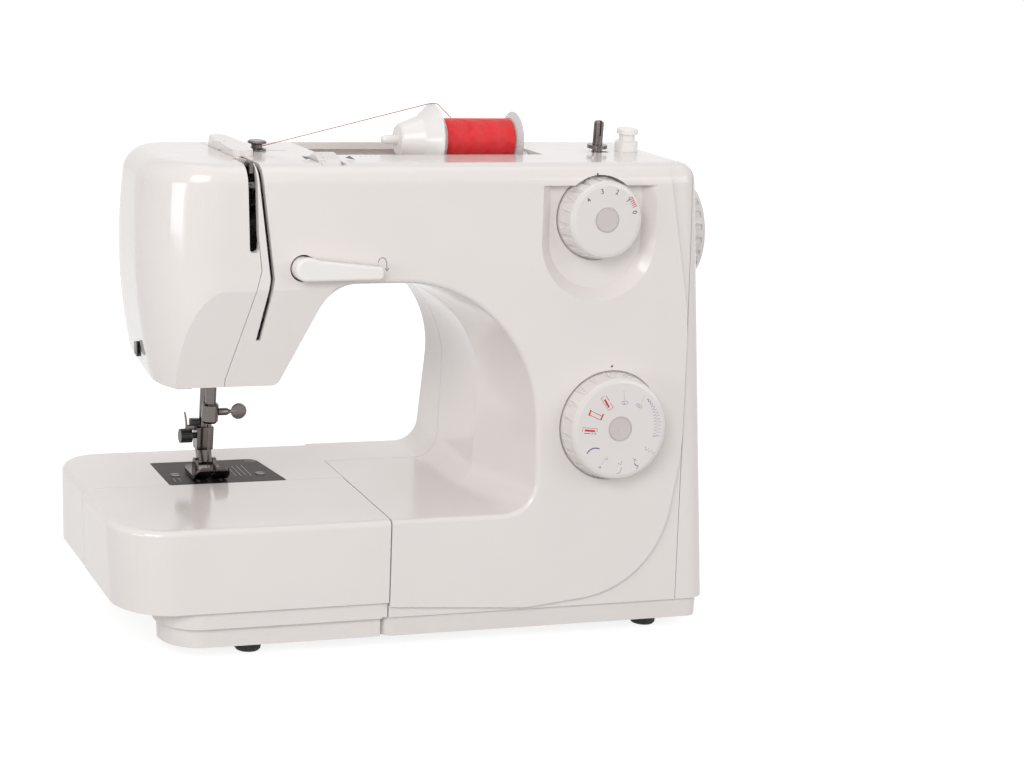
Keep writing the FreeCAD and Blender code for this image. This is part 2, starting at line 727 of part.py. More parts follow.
def casing_openings():
    """Everything that is cut through the casing walls."""
    tools = []
    through = 3 * WALL
    for x, z in ((LENGTH_DIAL_X, LENGTH_DIAL_Z), (PATTERN_DIAL_X, PATTERN_DIAL_Z)):
        tools.append(facing(rod_y(DIAL_SHAFT_R + DIAL_SHAFT_GAP, -through, 6 * through, 0, 0), x, z))
    tools.append(facing(rod_y(LEVER_HOLE_R, -through, 2 * through, 0, 0), LEVER_X, LEVER_Z))
    tools.append(take_up_slot())
    tools.append(thread_slot())
    tools.append(box(HEAD_OPEN_LEFT_X, HEAD_OPEN_RIGHT_X, HEAD_OPEN_FRONT_Y, HEAD_OPEN_BACK_Y,
                     HEAD_BOTTOM_Z - 1, HEAD_BOTTOM_Z + through))
    tools.append(box(LIFTER_X - LIFTER_SLOT / 2, LIFTER_X + LIFTER_SLOT / 2, LIFTER_Y - 6, 2 * BACK_FOOT_Y,
                     HEAD_BOTTOM_Z - 1, LIFTER_Z + 12))
    half = TENSION_WIDTH / 2 + DIAL_GAP
    tools.append(box(TENSION_X - half, TENSION_X + half, TENSION_Y - 17, TENSION_Y + 17, TENSION_Z + 8,
                     TOP_FRONT_Z + 9))
    tools.append(winder_slot(WINDER_R + DIAL_GAP / 2))
    tools.append(rod_x(SHAFT_R + DIAL_GAP, END_SEAM_X, WHEEL_X, SHAFT_Y, SHAFT_Z))
    for x in (TROUGH_LEFT_X - 2 * WALL, TROUGH_RIGHT_X - WALL):
        tools.append(rod_x(HANDLE_PIN_R + PIN_FIT, x, x + 3 * WALL, HANDLE_PIVOT_Y, HANDLE_PIVOT_Z))
    tools.append(plate_outline(PLATE_GAP, BED_TOP - PLATE_THICK, BED_TOP + 1))
    ledge = PLATE_LEDGE
    tools.append(box(PLATE_LEFT_X + ledge, PLATE_RIGHT_X - 2 * ledge, ARM_FRONT_Y + WALL,
                     PLATE_BACK_Y - ledge,
                     BED_TOP - 2 * BED_WALL, BED_TOP))
    gap = DOOR_GAP
    tools.append(box(NEEDLE_X - DOOR_WIDTH / 2 - gap, NEEDLE_X + DOOR_WIDTH / 2 + gap, ARM_FRONT_Y - 1,
                     ARM_FRONT_Y + WALL + 1, DOOR_LOW_Z - gap, DOOR_LOW_Z + DOOR_HEIGHT + gap))
    tools.append(rod_x(DOOR_PIN_R + PIN_FIT, NEEDLE_X - DOOR_WIDTH / 2 - 4, NEEDLE_X + DOOR_WIDTH / 2 + 4,
                       DOOR_PIVOT_Y, DOOR_PIVOT_Z))
    tools.append(end_window(SWITCH_Y, SWITCH_Z, SWITCH_LONG, SWITCH_HIGH))
    tools.append(end_window(INLET_Y, INLET_Z, INLET_LONG, INLET_HIGH))
    for x, z in SCREW_PLACES:
        tools.append(back_screw(x, z, SCREW_HEAD_R + SCREW_GAP, SCREW_HEAD_HIGH + SCREW_GAP))
        tools.append(back_screw(x, z, SCREW_R + SCREW_GAP, 4 * WALL))
    return tools


def take_up_slot():
    """Slot for the take-up lever: over the top front edge and down the seam of the face cover."""
    left = SLOT_WIDTH / 2
    points = [(TAKE_UP_X - left - 1, TOP_FRONT_Z + 9), (TAKE_UP_X + left - 1, TOP_FRONT_Z + 9),
              (TAKE_UP_X + left + 1.6, SLOT_FOOT_Z), (TAKE_UP_X - left + 1.6, SLOT_FOOT_Z)]
    return prism_xz(points, [0, 0, 2.0, 2.0], -2 * BACK_FOOT_Y, SLOT_BACK_Y)


def thread_slot():
    """Narrow slot that leads the thread down past the tension discs and up again."""
    half = THREAD_SLOT_WIDTH / 2
    line = [(-108.5, TOP_FRONT_Z + 9), (-107.0, 270.0), (-99.5, 217.0), (-104.5, 181.0)]
    left = [(x - half, z) for x, z in line]
    right = [(x + half, z) for x, z in line]
    slot = prism_xz(left + right[::-1], 0, -2 * BACK_FOOT_Y, THREAD_SLOT_BACK_Y)
    return slot


def winder_slot(radius):
    """Slot in the top for the bobbin winder spindle."""
    start = rod_z(radius, SHAFT_Z + WHEEL_R, WINDER_TOP_Z, WINDER_X, WINDER_Y)
    end = rod_z(radius, SHAFT_Z + WHEEL_R, WINDER_TOP_Z, WINDER_X + WINDER_TRAVEL, WINDER_Y)
    bar = box(WINDER_X, WINDER_X + WINDER_TRAVEL, WINDER_Y - radius, WINDER_Y + radius, SHAFT_Z + WHEEL_R,
              WINDER_TOP_Z)
    return start.fuse([bar, end])


def plate_outline(grow, z0, z1):
    """Plan of the needle plate."""
    points = [(PLATE_LEFT_X - grow, ARM_FRONT_Y + PLATE_GAP - grow),
              (PLATE_RIGHT_X + grow, ARM_FRONT_Y + PLATE_GAP - grow),
              (PLATE_RIGHT_X - PLATE_TAPER + grow, PLATE_BACK_Y + grow), (PLATE_LEFT_X - grow,
                                                                          PLATE_BACK_Y + grow)]
    return prism_xy(points, [1.0, 1.0, PLATE_ROUND, 1.0], z0, z1)


def end_window(y, z, long, high):
    """Rectangular opening through the handwheel end of the casing."""
    return box(END_SEAM_X + 4, 2 * END_FOOT_X, y - long / 2, y + long / 2, z - high / 2, z + high / 2)


def back_screw(x, z, radius, length):
    """Round piece standing in from the leaning back face."""
    piece = Part.makeCylinder(radius, length, V(0, 0, 0), V(0, -1, 0))
    piece.rotate(V(0, 0, 0), V(1, 0, 0), math.degrees(math.atan(BACK_LEAN)))
    piece.translate(V(x, back_y(z), z))
    return piece


def seam_left(side):
    """Everything left of the seam of the face cover."""
    far = 2 * TOP_FRONT_Z
    points = [(-far, far), (-115.5 - (far - 300) * 0.12, far), (-106.0, 222.0), (-121.0, 158.0),
              (-121.0, 140.0), (-far, 140.0)]
    return prism_xz([(x + side, z) for x, z in points], 0, -far, far)


def covers():
    """The casing split along its seams into face, end, front and rear covers."""
    shell = casing().cut(casing_openings())
    far = 2 * TOP_FRONT_Z
    half = SEAM / 2
    face = shell.common(seam_left(-half))
    rest = shell.cut(seam_left(half))
    end = rest.common(box(END_SEAM_X + half, far, -far, far, -far, far))
    rest = rest.common(box(-far, END_SEAM_X - half, -far, far, -far, far))
    arm = box(-far, TABLE_SEAM_X, -far, far, -far, HEAD_BOTTOM_Z - 10)
    gap_arm = box(-far, TABLE_SEAM_X + SEAM, -far, far, -far, HEAD_BOTTOM_Z - 10)
    front = rest.common(box(-far, far, -far, PART_Y - half, -far, far)).cut(gap_arm)
    rear = rest.common(box(-far, far, PART_Y + half, far, -far, far).fuse(arm))
    end = emboss_end(end)
    return face, front, rear, end


def largest(shape):
    """Drop stray slivers that a seam may leave: keep the main solid."""
    return max(shape.Solids, key=lambda solid: solid.Volume)


def emboss_end(cover):
    """Concentric rings pressed into the lower handwheel end."""
    for radius in RING_RADII:
        ring = rod_x(radius, 0, RING_DEPTH * 2, 0, 0).cut(rod_x(radius - RING_WIDTH, -1, RING_DEPTH * 3, 0,
                                                                0))
        ring.rotate(V(0, 0, 0), V(0, 1, 0), -math.degrees(math.atan(END_LEAN)))
        ring.translate(V(end_x(RING_Z) - RING_DEPTH, RING_Y, RING_Z))
        cover = cover.cut(ring)
    return cover


def base_plate():
    """Shallow tray that closes the casing from below."""
    def outline(inset, z0, z1, rounding=0.0):
        x0 = BASE_LEFT_X + inset
        x1 = end_x(BODY_BOTTOM) - BASE_INSET - inset
        y0 = front_y(BODY_BOTTOM) + BASE_INSET + inset
        y1 = back_y(BODY_BOTTOM) - BASE_INSET - inset
        return prism_xy([(x0, y0), (x1, y0), (x1, y1), (x0, y1)], END_ROUND - BASE_INSET - inset + rounding,
                        z0, z1)
    tray = outline(0, FOOT_HEIGHT, BODY_BOTTOM - SEAM)
    tray = tray.cut(outline(WALL, FOOT_HEIGHT + BASE_FLOOR, BODY_BOTTOM))
    lip_top = BODY_BOTTOM + 6
    lip = outline(LIP_INSET, BODY_BOTTOM - 2, lip_top, BASE_INSET).cut(outline(LIP_INSET + WALL, 0,
                                                                               lip_top + 1, BASE_INSET))
    lip = lip.cut(box(-400, TABLE_SEAM_X + WALL + 1, -200, 200, 0, 100))
    tray = tray.fuse(lip)
    for i in range(VENT_COUNT):
        x = VENT_X + i * VENT_PITCH
        slot = prism_xy([(x, -30), (x + 3, -30), (x + 3, 30), (x, 30)], 1.4, 0, FOOT_HEIGHT + BASE_FLOOR + 1)
        tray = tray.cut(slot)
    return tray


def free_arm_floor():
    """Plate that closes the free arm from below."""
    far = 2 * END_FOOT_X
    inside = bed_block(WALL + FLOOR_GAP, BED_WALL, 0)
    room = box(-far, BASE_LEFT_X + 2, ARM_FRONT_Y + WALL + FLOOR_GAP, far, ARM_BOTTOM_Z,
               ARM_BOTTOM_Z + FLOOR_THICK)
    plate = inside.common(room)
    for y in (26.0, 66.0):
        plate = plate.cut(rod_z(2.0, 0, ARM_BOTTOM_Z + FLOOR_THICK + 1, -150.0, y))
    return plate


def extension_table():
    """Hollow slide-off table, open towards the free arm, with accessory space inside."""
    far = 2 * END_FOOT_X
    right = TABLE_SEAM_X - TABLE_GAP
    back = ARM_FRONT_Y - TABLE_GAP
    body = bed_block(0, 0, SKIRT_HIGH_Z)
    body = body.fuse(bed_block(SKIRT_HIGH_INSET, 2, 0).common(box(-far, far, -far, far, SKIRT_LOW_Z,
                                                                  BED_TOP - 9)))
    body = body.fuse(bed_block(SKIRT_LOW_INSET, 2, 0).common(box(-far, far, -far, far, FOOT_HEIGHT,
                                                                 BED_TOP - 9)))
    body = body.common(box(-far, right, -far, back, 0, far))
    room = box(-far, right - TABLE_WALL, -far, back + 1, SKIRT_HIGH_Z + TABLE_WALL, far)
    hollow = bed_block(TABLE_WALL, TABLE_WALL, 0).common(room)
    room = box(-far, right - TABLE_WALL, -far, back + 1, FOOT_HEIGHT + TABLE_WALL,
               SKIRT_HIGH_Z + TABLE_WALL + 1)
    hollow = hollow.fuse(bed_block(SKIRT_LOW_INSET + TABLE_WALL, TABLE_WALL, 0).common(room))
    body = body.cut(hollow)
    under = box(BASE_LEFT_X - TABLE_GAP, far, -far, far, 0, BODY_BOTTOM + 0.2)
    return body.cut(under)


def shuttle_cover():
    """Door in the front wall of the free arm, hinged at its foot."""
    x0 = NEEDLE_X - DOOR_WIDTH / 2
    x1 = NEEDLE_X + DOOR_WIDTH / 2
    top = DOOR_LOW_Z + DOOR_HEIGHT
    front = ARM_FRONT_Y + 0.2
    points = [(x0, DOOR_LOW_Z), (x1, DOOR_LOW_Z), (x1, top), (x0, top)]
    door = prism_xz(points, [0.5, 0.5, 2.0, 2.0], front, front + DOOR_THICK)
    door = door.fuse(rod_x(DOOR_PIN_R, x0 - 2.5, x1 + 2.5, DOOR_PIVOT_Y, DOOR_PIVOT_Z))
    grip = prism_xz([(NEEDLE_X - 12, top - 9), (NEEDLE_X + 12, top - 9), (NEEDLE_X + 12, top - 4),
                     (NEEDLE_X - 12, top - 4)],
                    2.0, front - 1, front + 1)
    return door.cut(grip)


def needle_plate():
    """Steel plate with a needle slot, feed slots and screw holes."""
    plate = plate_outline(0, BED_TOP - PLATE_THICK, BED_TOP)
    plate = plate.cut(slot_z(NEEDLE_X - 2.8, NEEDLE_X + 2.8, NEEDLE_Y, 1.0))
    for x, y0, y1 in FEED_ROWS:
        reach_front = FEED_TRAVEL + FEED_GAP
        plate = plate.cut(box(x - FEED_WIDTH / 2 - FEED_GAP, x + FEED_WIDTH / 2 + FEED_GAP, y0 - reach_front,
                              y1 + reach_front, BED_TOP - 9, BED_TOP + 1))
    for x, y in PLATE_SCREWS:
        plate = plate.cut(rod_z(PLATE_SCREW_R + 0.1, BED_TOP - 9, BED_TOP + 1, x, y))
    return plate


def slot_z(x0, x1, y, radius):
    """Long hole through the needle plate."""
    slot = rod_z(radius, BED_TOP - 9, BED_TOP + 1, x0, y).fuse(rod_z(radius, BED_TOP - 9, BED_TOP + 1, x1, y))
    return slot.fuse(box(x0, x1, y - radius, y + radius, BED_TOP - 9, BED_TOP + 1))


def slotted_screw(radius, z0, z1, x, y, width):
    """Short flush screw with a driver slot."""
    screw = rod_z(radius, z0, z1, x, y)
    return screw.cut(box(x - radius - 1, x + radius + 1, y - width / 2, y + width / 2, z1 - 0.7, z1 + 1))


def plate_screws():
    """Two screws that hold the needle plate."""
    return [slotted_screw(PLATE_SCREW_R, BED_TOP - PLATE_THICK, BED_TOP + 0.3, x, y, 0.9) for x,
            y in PLATE_SCREWS]


def feed_dog():
    """Toothed rows on a carrier under the needle plate."""
    base_top = BED_TOP - PLATE_THICK - 0.5
    base_low = base_top - 1.9
    x0 = min(row[0] for row in FEED_ROWS) - 3
    x1 = max(row[0] for row in FEED_ROWS) + 3
    carrier = box(x0, x1, FEED_ROWS[0][1] - 1, FEED_BAR_Y + 4, base_low, base_top)
    carrier = carrier.cut(box(NEEDLE_X - 4.2, NEEDLE_X + 4.2, NEEDLE_Y - 4, NEEDLE_Y + 4, base_low - 1,
                              base_top + 1))
    for x, y0, y1 in FEED_ROWS:
        count = int((y1 - y0) / FEED_PITCH)
        outline = [(y0, base_low), (y0, FEED_TOP_Z - 0.8)]
        for i in range(count):
            outline.append((y0 + i * FEED_PITCH + 0.2, FEED_TOP_Z))
            outline.append((y0 + (i + 1) * FEED_PITCH, FEED_TOP_Z - 0.8))
        outline.append((y0 + count * FEED_PITCH, base_low))
        carrier = carrier.fuse(prism_yz(outline, 0, x - FEED_WIDTH / 2, x + FEED_WIDTH / 2))
    under = BED_TOP - BED_WALL - 1
    riser = box(x0, x1, FEED_BAR_Y, FEED_BAR_Y + 4, under - 5, base_low)
    bar = box(x0, FEED_BAR_RIGHT_X, FEED_BAR_Y, FEED_BAR_Y + 4, under - 5, under)
    return carrier.fuse([riser, bar])


def rubber_foot(x, y):
    """Tapered rubber foot."""
    return revolve_z([(0, 0), (FOOT_RADIUS - 1.2, 0), (FOOT_RADIUS - 0.4, 1.0), (FOOT_RADIUS, FOOT_HEIGHT),
                      (0, FOOT_HEIGHT)], x, y)


def carrying_handle():
    """Fold-up handle that closes the top back corner of the trough, on two pivot ears."""
    left = TROUGH_LEFT_X + HANDLE_GAP
    right = TROUGH_RIGHT_X - HANDLE_GAP
    far = 2 * TOP_FRONT_Z
    room = box(left, right, HANDLE_FRONT_Y, far, HANDLE_BOTTOM_Z, far)
    bar = casing_block(0, 0, BODY_BOTTOM).common(room).cut(casing_block(HANDLE_THICK, HANDLE_THICK,
                                                                        BODY_BOTTOM))
    outline = [(HANDLE_PIVOT_Y - EAR_R, HANDLE_PIVOT_Z - EAR_R), (HANDLE_FRONT_Y + 2, HANDLE_BOTTOM_Z + 12),
               (HANDLE_FRONT_Y + 8, HANDLE_BOTTOM_Z + 4), (HANDLE_FRONT_Y + 11, HANDLE_BOTTOM_Z + 4),
               (HANDLE_FRONT_Y + 11, top_z(HANDLE_FRONT_Y) - 3), (HANDLE_PIVOT_Y - EAR_R,
                                                                  HANDLE_PIVOT_Z + EAR_R)]
    for x0 in (left, right - EAR_THICK):
        bar = bar.fuse(prism_yz(outline, [EAR_R - 0.6, 0, 0, 0, 0, EAR_R - 0.6], x0, x0 + EAR_THICK))
    for x0, x1 in ((left - 5, left + 1), (right - 1, right + 5)):
        bar = bar.fuse(rod_x(HANDLE_PIN_R, x0, x1, HANDLE_PIVOT_Y, HANDLE_PIVOT_Z))
    return bar


def main_frame():
    """Cast inner frame: arm, column and bed rails with bearings and bar guides."""
    y0 = FRAME_Y
    y1 = FRAME_Y + FRAME_THICK
    frame = box(FRAME_LEFT_X, FRAME_RIGHT_X, y0, y1, FRAME_ARM_LOW_Z, FRAME_TOP_Z - 0.5)
    frame = frame.fuse(box(FRAME_COLUMN_X, FRAME_RIGHT_X, y0, y1, FRAME_BED_LOW_Z, FRAME_TOP_Z - 0.5))
    frame = frame.fuse(box(FRAME_LEFT_X, FRAME_RIGHT_X, y0, y1, FRAME_BED_LOW_Z, FRAME_BED_TOP_Z))
    frame = frame.fuse(box(FRAME_LEFT_X, HEAD_RIGHT_X - 6, y0, y1, GUIDE_LOW_Z, FRAME_HEAD_TOP_Z))
    frame = frame.fuse(box(HEAD_RIGHT_X - 7, FRAME_HEAD_RIGHT_X, y0, y1, FRAME_ARM_LOW_Z, FRAME_HEAD_TOP_Z))
    column_mid = (FRAME_COLUMN_X + FRAME_RIGHT_X) / 2
    window = [(FRAME_COLUMN_X + 18, 92.0), (FRAME_RIGHT_X - 18, 92.0), (FRAME_RIGHT_X - 18, 196.0),
              (FRAME_COLUMN_X + 18, 196.0)]
    frame = frame.cut(prism_xz(window, 8.0, y0 - 1, y1 + 1))
    for x in (column_mid - 34, column_mid + 14):
        frame = frame.fuse(box(x, x + 20, y0, y1, FOOT_HEIGHT + BASE_FLOOR, FRAME_BED_LOW_Z + 1))
    for x in BEARING_XS:
        boss = rod_x(BEARING_R, x, x + BEARING_LENGTH, SHAFT_Y, SHAFT_Z)
        boss = boss.fuse(box(x, x + BEARING_LENGTH, SHAFT_Y, y0 + 1, SHAFT_Z - BEARING_R * 0.8,
                             SHAFT_Z + BEARING_R * 0.8))
        frame = frame.fuse(boss).cut(rod_x(SHAFT_R + SHAFT_FIT, x - 1, x + BEARING_LENGTH + 1, SHAFT_Y,
                                           SHAFT_Z))
    for z in (GUIDE_LOW_Z, GUIDE_HIGH_Z):
        frame = frame.fuse(box(NEEDLE_X - 9, NEEDLE_X + 9, NEEDLE_Y - 8, y0 + 1, z, z + GUIDE_THICK))
    frame = frame.cut(rod_z(NEEDLE_BAR_R + BAR_FIT, GUIDE_LOW_Z - 1, TOP_FRONT_Z, NEEDLE_X, NEEDLE_Y))
    frame = frame.cut(rod_z(PRESSER_BAR_R + BAR_FIT, GUIDE_LOW_Z - 1, TOP_FRONT_Z, NEEDLE_X, PRESSER_Y))
    bracket = box(TAKE_UP_X - 8, TAKE_UP_X - 3, TAKE_UP_Y - 6, y0 + 1, TAKE_UP_Z - 6, TAKE_UP_Z + 6)
    frame = frame.fuse(bracket)
    frame = frame.cut(rod_x(TAKE_UP_PIN_R + SHAFT_FIT, TAKE_UP_X - 9, TAKE_UP_X, TAKE_UP_Y, TAKE_UP_Z))
    frame = frame.fuse(box(TENSION_X - 23, TENSION_X - 17, TENSION_Y - 6, y0 + 1, TENSION_Z - 5,
                           TENSION_Z + 5))
    frame = frame.cut(rod_x(TENSION_STUD_R, TENSION_X - 24, TENSION_X - 16, TENSION_Y, TENSION_Z))
    frame = frame.cut(box(LIFTER_X - 8, LIFTER_X + 9, y0 - 1, y1 + 1, LIFTER_Z - 13, LIFTER_Z + 20))
    for x in (LIFTER_X - 12, LIFTER_X + 9):
        lug = box(x, x + 3.5, y1 - 1, LIFTER_Y + 5, LIFTER_Z - 5, LIFTER_Z + 5)
        frame = frame.fuse(lug).cut(rod_x(LIFTER_PIN_R + SHAFT_FIT, x - 1, x + 5, LIFTER_Y, LIFTER_Z))
    shelf = box(WINDER_X - 14, WINDER_X + 16, WINDER_Y - 8, y1, WINDER_SHELF_Z - 4, WINDER_SHELF_Z)
    frame = frame.fuse(shelf.fuse(box(WINDER_X - 14, WINDER_X + 16, y0, y1, FRAME_TOP_Z - 2, WINDER_SHELF_Z)))
    return frame.cut(rod_y(HOOK_SHAFT_R + SHAFT_FIT, y0 - 1, y1 + 1, NEEDLE_X, HOOK_Z))


def upper_shaft():
    """Main shaft with the belt pulley and the crank that drives the needle bar."""
    end = WHEEL_X - 4
    shaft = rod_x(SHAFT_R, CRANK_X, end, SHAFT_Y, SHAFT_Z)
    shaft = shaft.fuse(rod_x(CRANK_R, CRANK_X, CRANK_X + CRANK_THICK, SHAFT_Y, SHAFT_Z))
    angle = math.radians(CRANK_REST_DEG)
    pin_y = SHAFT_Y + CRANK_THROW * math.sin(angle)
    pin_z = SHAFT_Z + CRANK_THROW * math.cos(angle)
    shaft = shaft.fuse(rod_x(CRANK_PIN_R, CRANK_X - CRANK_PIN_LENGTH, CRANK_X + 1, pin_y, pin_z))
    return shaft.fuse(pulley(WHEEL_PULLEY_R, SHAFT_Y, SHAFT_Z))


def pulley(radius, y, z):
    """Flat belt pulley with two flanges."""
    x0 = BELT_X - PULLEY_SIDE
    x1 = BELT_X + BELT_WIDTH + PULLEY_SIDE
    edge = radius + BELT_THICK + 1
    side = PULLEY_SIDE - BELT_FIT
    return revolve_x([(x0, 0), (x0, edge), (x0 + side, edge), (x0 + side, radius), (x1 - side, radius),
                      (x1 - side, edge), (x1, edge), (x1, 0)], y, z)


def handwheel():
    """Fluted handwheel with a dished face."""
    x0 = end_x(SHAFT_Z - WHEEL_R) + WHEEL_GAP
    x1 = WHEEL_X
    profile = [(x0, SHAFT_R), (x0, WHEEL_R - 2), (x0 + 2, WHEEL_R), (x1 - 4, WHEEL_R),
               (x1 - 1, WHEEL_R - 1.5),
               (x1, WHEEL_R - 4), (x1 - 2, WHEEL_R - 7), (x1 - 2, 10), (x1 - 0.5, 8), (x1 - 0.5,
                                                                                       0), (x1 - 4, 0),
                                                                                       (x1 - 4, SHAFT_R)]
    wheel = revolve_x(profile, SHAFT_Y, SHAFT_Z)
    for i in range(WHEEL_FLUTES):
        angle = 2 * math.pi * i / WHEEL_FLUTES
        y = SHAFT_Y + (WHEEL_R + 1.2) * math.cos(angle)
        z = SHAFT_Z + (WHEEL_R + 1.2) * math.sin(angle)
        wheel = wheel.cut(rod_x(2.4, x0 + 3, x1 - 3.5, y, z))
    return wheel


def motor():
    """Motor can with end bells and a bracket to the frame."""
    x0 = MOTOR_X
    x1 = MOTOR_X + MOTOR_LENGTH
    body = revolve_x([(x0, 0), (x0, 12), (x0 + 4, MOTOR_R - 4), (x0 + 8, MOTOR_R), (x1 - 8, MOTOR_R),
                      (x1 - 4, MOTOR_R - 4),
                      (x1, 12), (x1, 0)], MOTOR_Y, MOTOR_Z)
    body = body.fuse(box(x0 + 12, x1 - 12, MOTOR_Y, FRAME_Y, MOTOR_Z - 7, MOTOR_Z + 7))
    return body.cut(rod_x(MOTOR_SHAFT_R + SHAFT_FIT, x1 - 10, x1 + 1, MOTOR_Y, MOTOR_Z))


def motor_pulley():
    """Small pulley on the motor shaft."""
    x1 = MOTOR_X + MOTOR_LENGTH
    return pulley(MOTOR_PULLEY_R, MOTOR_Y, MOTOR_Z).fuse(rod_x(MOTOR_SHAFT_R, x1 - 9, BELT_X, MOTOR_Y,
                                                               MOTOR_Z))


def belt_outline(grow):
    """Open-belt outline round both pulleys as a solid bar, for the belt and its inside."""
    big = WHEEL_PULLEY_R + BELT_FIT + grow
    small = MOTOR_PULLEY_R + BELT_FIT + grow
    span = SHAFT_Z - MOTOR_Z
    lean = math.asin((big - small) / span)
    c = math.cos(lean)
    s = math.sin(lean)
    points = []
    for side in (1, -1):
        upper = (SHAFT_Y + side * big * c, SHAFT_Z - big * s)
        lower = (MOTOR_Y + side * small * c, MOTOR_Z - small * s)
        points.append((upper, lower))
    web = prism_yz([points[0][0], points[0][1], points[1][1], points[1][0]], 0, BELT_X, BELT_X + BELT_WIDTH)
    ends = [rod_x(big, BELT_X, BELT_X + BELT_WIDTH, SHAFT_Y, SHAFT_Z),
            rod_x(small, BELT_X, BELT_X + BELT_WIDTH, MOTOR_Y, MOTOR_Z)]
    return web.fuse(ends).removeSplitter()


def drive_belt():
    """Flat belt from motor to upper shaft."""
    return belt_outline(BELT_THICK).cut(belt_outline(0))


def shuttle_race():
    """Fixed ring in which the shuttle hook swings, on two pillars from the frame."""
    y0 = HOOK_FRONT_Y
    ring = rod_y(RACE_R, y0, HOOK_BACK_Y + 1, NEEDLE_X, HOOK_Z).cut(rod_y(HOOK_R + HOOK_FIT, y0 - 1,
                                                                          HOOK_BACK_Y + 2, NEEDLE_X,
                                                                          HOOK_Z))
    for side in (-1, 1):
        pillar = rod_y(RACE_PILLAR_R, y0 + 2, FRAME_Y, NEEDLE_X + side * (RACE_R + RACE_PILLAR_R - 1), HOOK_Z)
        ring = ring.fuse(pillar)
    return ring.cut(rod_y(HOOK_R + HOOK_FIT, y0 - 1, HOOK_BACK_Y + 2, NEEDLE_X, HOOK_Z))


def shuttle_hook():
    """Oscillating hook: open ring with a point, back web and centre pin for the bobbin case."""
    y0 = HOOK_FRONT_Y + 0.2
    ring = rod_y(HOOK_R, y0, HOOK_BACK_Y, NEEDLE_X, HOOK_Z).cut(rod_y(HOOK_RIM_IN_R, y0 - 1,
                                                                      HOOK_BACK_Y - 2, NEEDLE_X, HOOK_Z))
    gap = prism_xz([(NEEDLE_X, HOOK_Z), (NEEDLE_X + 26, HOOK_Z + 4), (NEEDLE_X + 26, HOOK_Z + 26),
                    (NEEDLE_X + 7, HOOK_Z + 26)],
                   0, y0 - 1, HOOK_BACK_Y - 2)
    ring = ring.cut(gap)
    ring = ring.fuse(rod_y(CASE_PIN_R, CASE_FRONT_Y + 5, HOOK_BACK_Y, NEEDLE_X, HOOK_Z))
    return ring.cut(rod_y(HOOK_SHAFT_R - 1, HOOK_BACK_Y - 1, HOOK_BACK_Y + 1, NEEDLE_X, HOOK_Z))


def hook_shaft():
    """Short shaft that swings the hook, with its drive arm behind the frame."""
    y1 = FRAME_Y + FRAME_THICK
    shaft = rod_y(HOOK_SHAFT_R, HOOK_BACK_Y, y1 + 6, NEEDLE_X, HOOK_Z)
    shaft = shaft.fuse(rod_y(HOOK_SHAFT_R - 1, HOOK_BACK_Y - 1, HOOK_BACK_Y + 1, NEEDLE_X, HOOK_Z))
    arm = prism_xz([(NEEDLE_X - 6, HOOK_Z + 6), (NEEDLE_X - 6, HOOK_Z - 6), (NEEDLE_X + 14, HOOK_Z - 4),
                    (NEEDLE_X + 14, HOOK_Z + 4)],
                   3.5, y1 + 1, y1 + 6)
    return shaft.fuse(arm)


def bobbin_case():
    """Thin cup that holds the bobbin on the centre pin of the hook."""
    y0 = CASE_FRONT_Y
    y1 = y0 + CASE_DEPTH
    cup = rod_y(CASE_R, y0, y1, NEEDLE_X, HOOK_Z).cut(rod_y(CASE_R - CASE_WALL, y0 + 1.4, y1 + 1, NEEDLE_X,
                                                            HOOK_Z))
    cup = cup.fuse(rod_y(CASE_TUBE_R, y0 + 1, y1, NEEDLE_X, HOOK_Z))
    cup = cup.fuse(box(NEEDLE_X - 2.2, NEEDLE_X + 2.2, y0, y0 + 2.2, HOOK_Z + CASE_R - 1,
                       HOOK_Z + CASE_R + 4))
    cup = cup.fuse(box(NEEDLE_X - 7, NEEDLE_X + 4, y0 - 1, y0, HOOK_Z - 3, HOOK_Z + 3))
    return cup.cut(rod_y(CASE_PIN_R + SHAFT_FIT, y0 + 4, y1 + 1, NEEDLE_X, HOOK_Z))


def bobbin():
    """Bobbin with two flanges, wound with thread."""
    y0 = CASE_FRONT_Y + 1.4 + 0.4
    y1 = y0 + BOBBIN_WIDTH
    bore = CASE_TUBE_R + 0.3
    return revolve_y([(y0, bore), (y0, BOBBIN_R), (y0 + 0.8, BOBBIN_R), (y0 + 0.8, BOBBIN_R - 2),
                      (y1 - 0.8, BOBBIN_R - 2),
                      (y1 - 0.8, BOBBIN_R), (y1, BOBBIN_R), (y1, bore)], NEEDLE_X, HOOK_Z)


def needle_bar():
    """Needle bar with its driving block."""
    bar = rod_z(NEEDLE_BAR_R, NEEDLE_BAR_LOW_Z, NEEDLE_BAR_TOP_Z, NEEDLE_X, NEEDLE_Y)
    block = rod_z(NEEDLE_BAR_R + 2.2, BLOCK_Z - 6, BLOCK_Z + 6, NEEDLE_X, NEEDLE_Y)
    stud = rod_x(2.5, NEEDLE_X + 3, LINK_X + LINK_THICK, NEEDLE_Y, BLOCK_Z)
    return bar.fuse([block, stud])


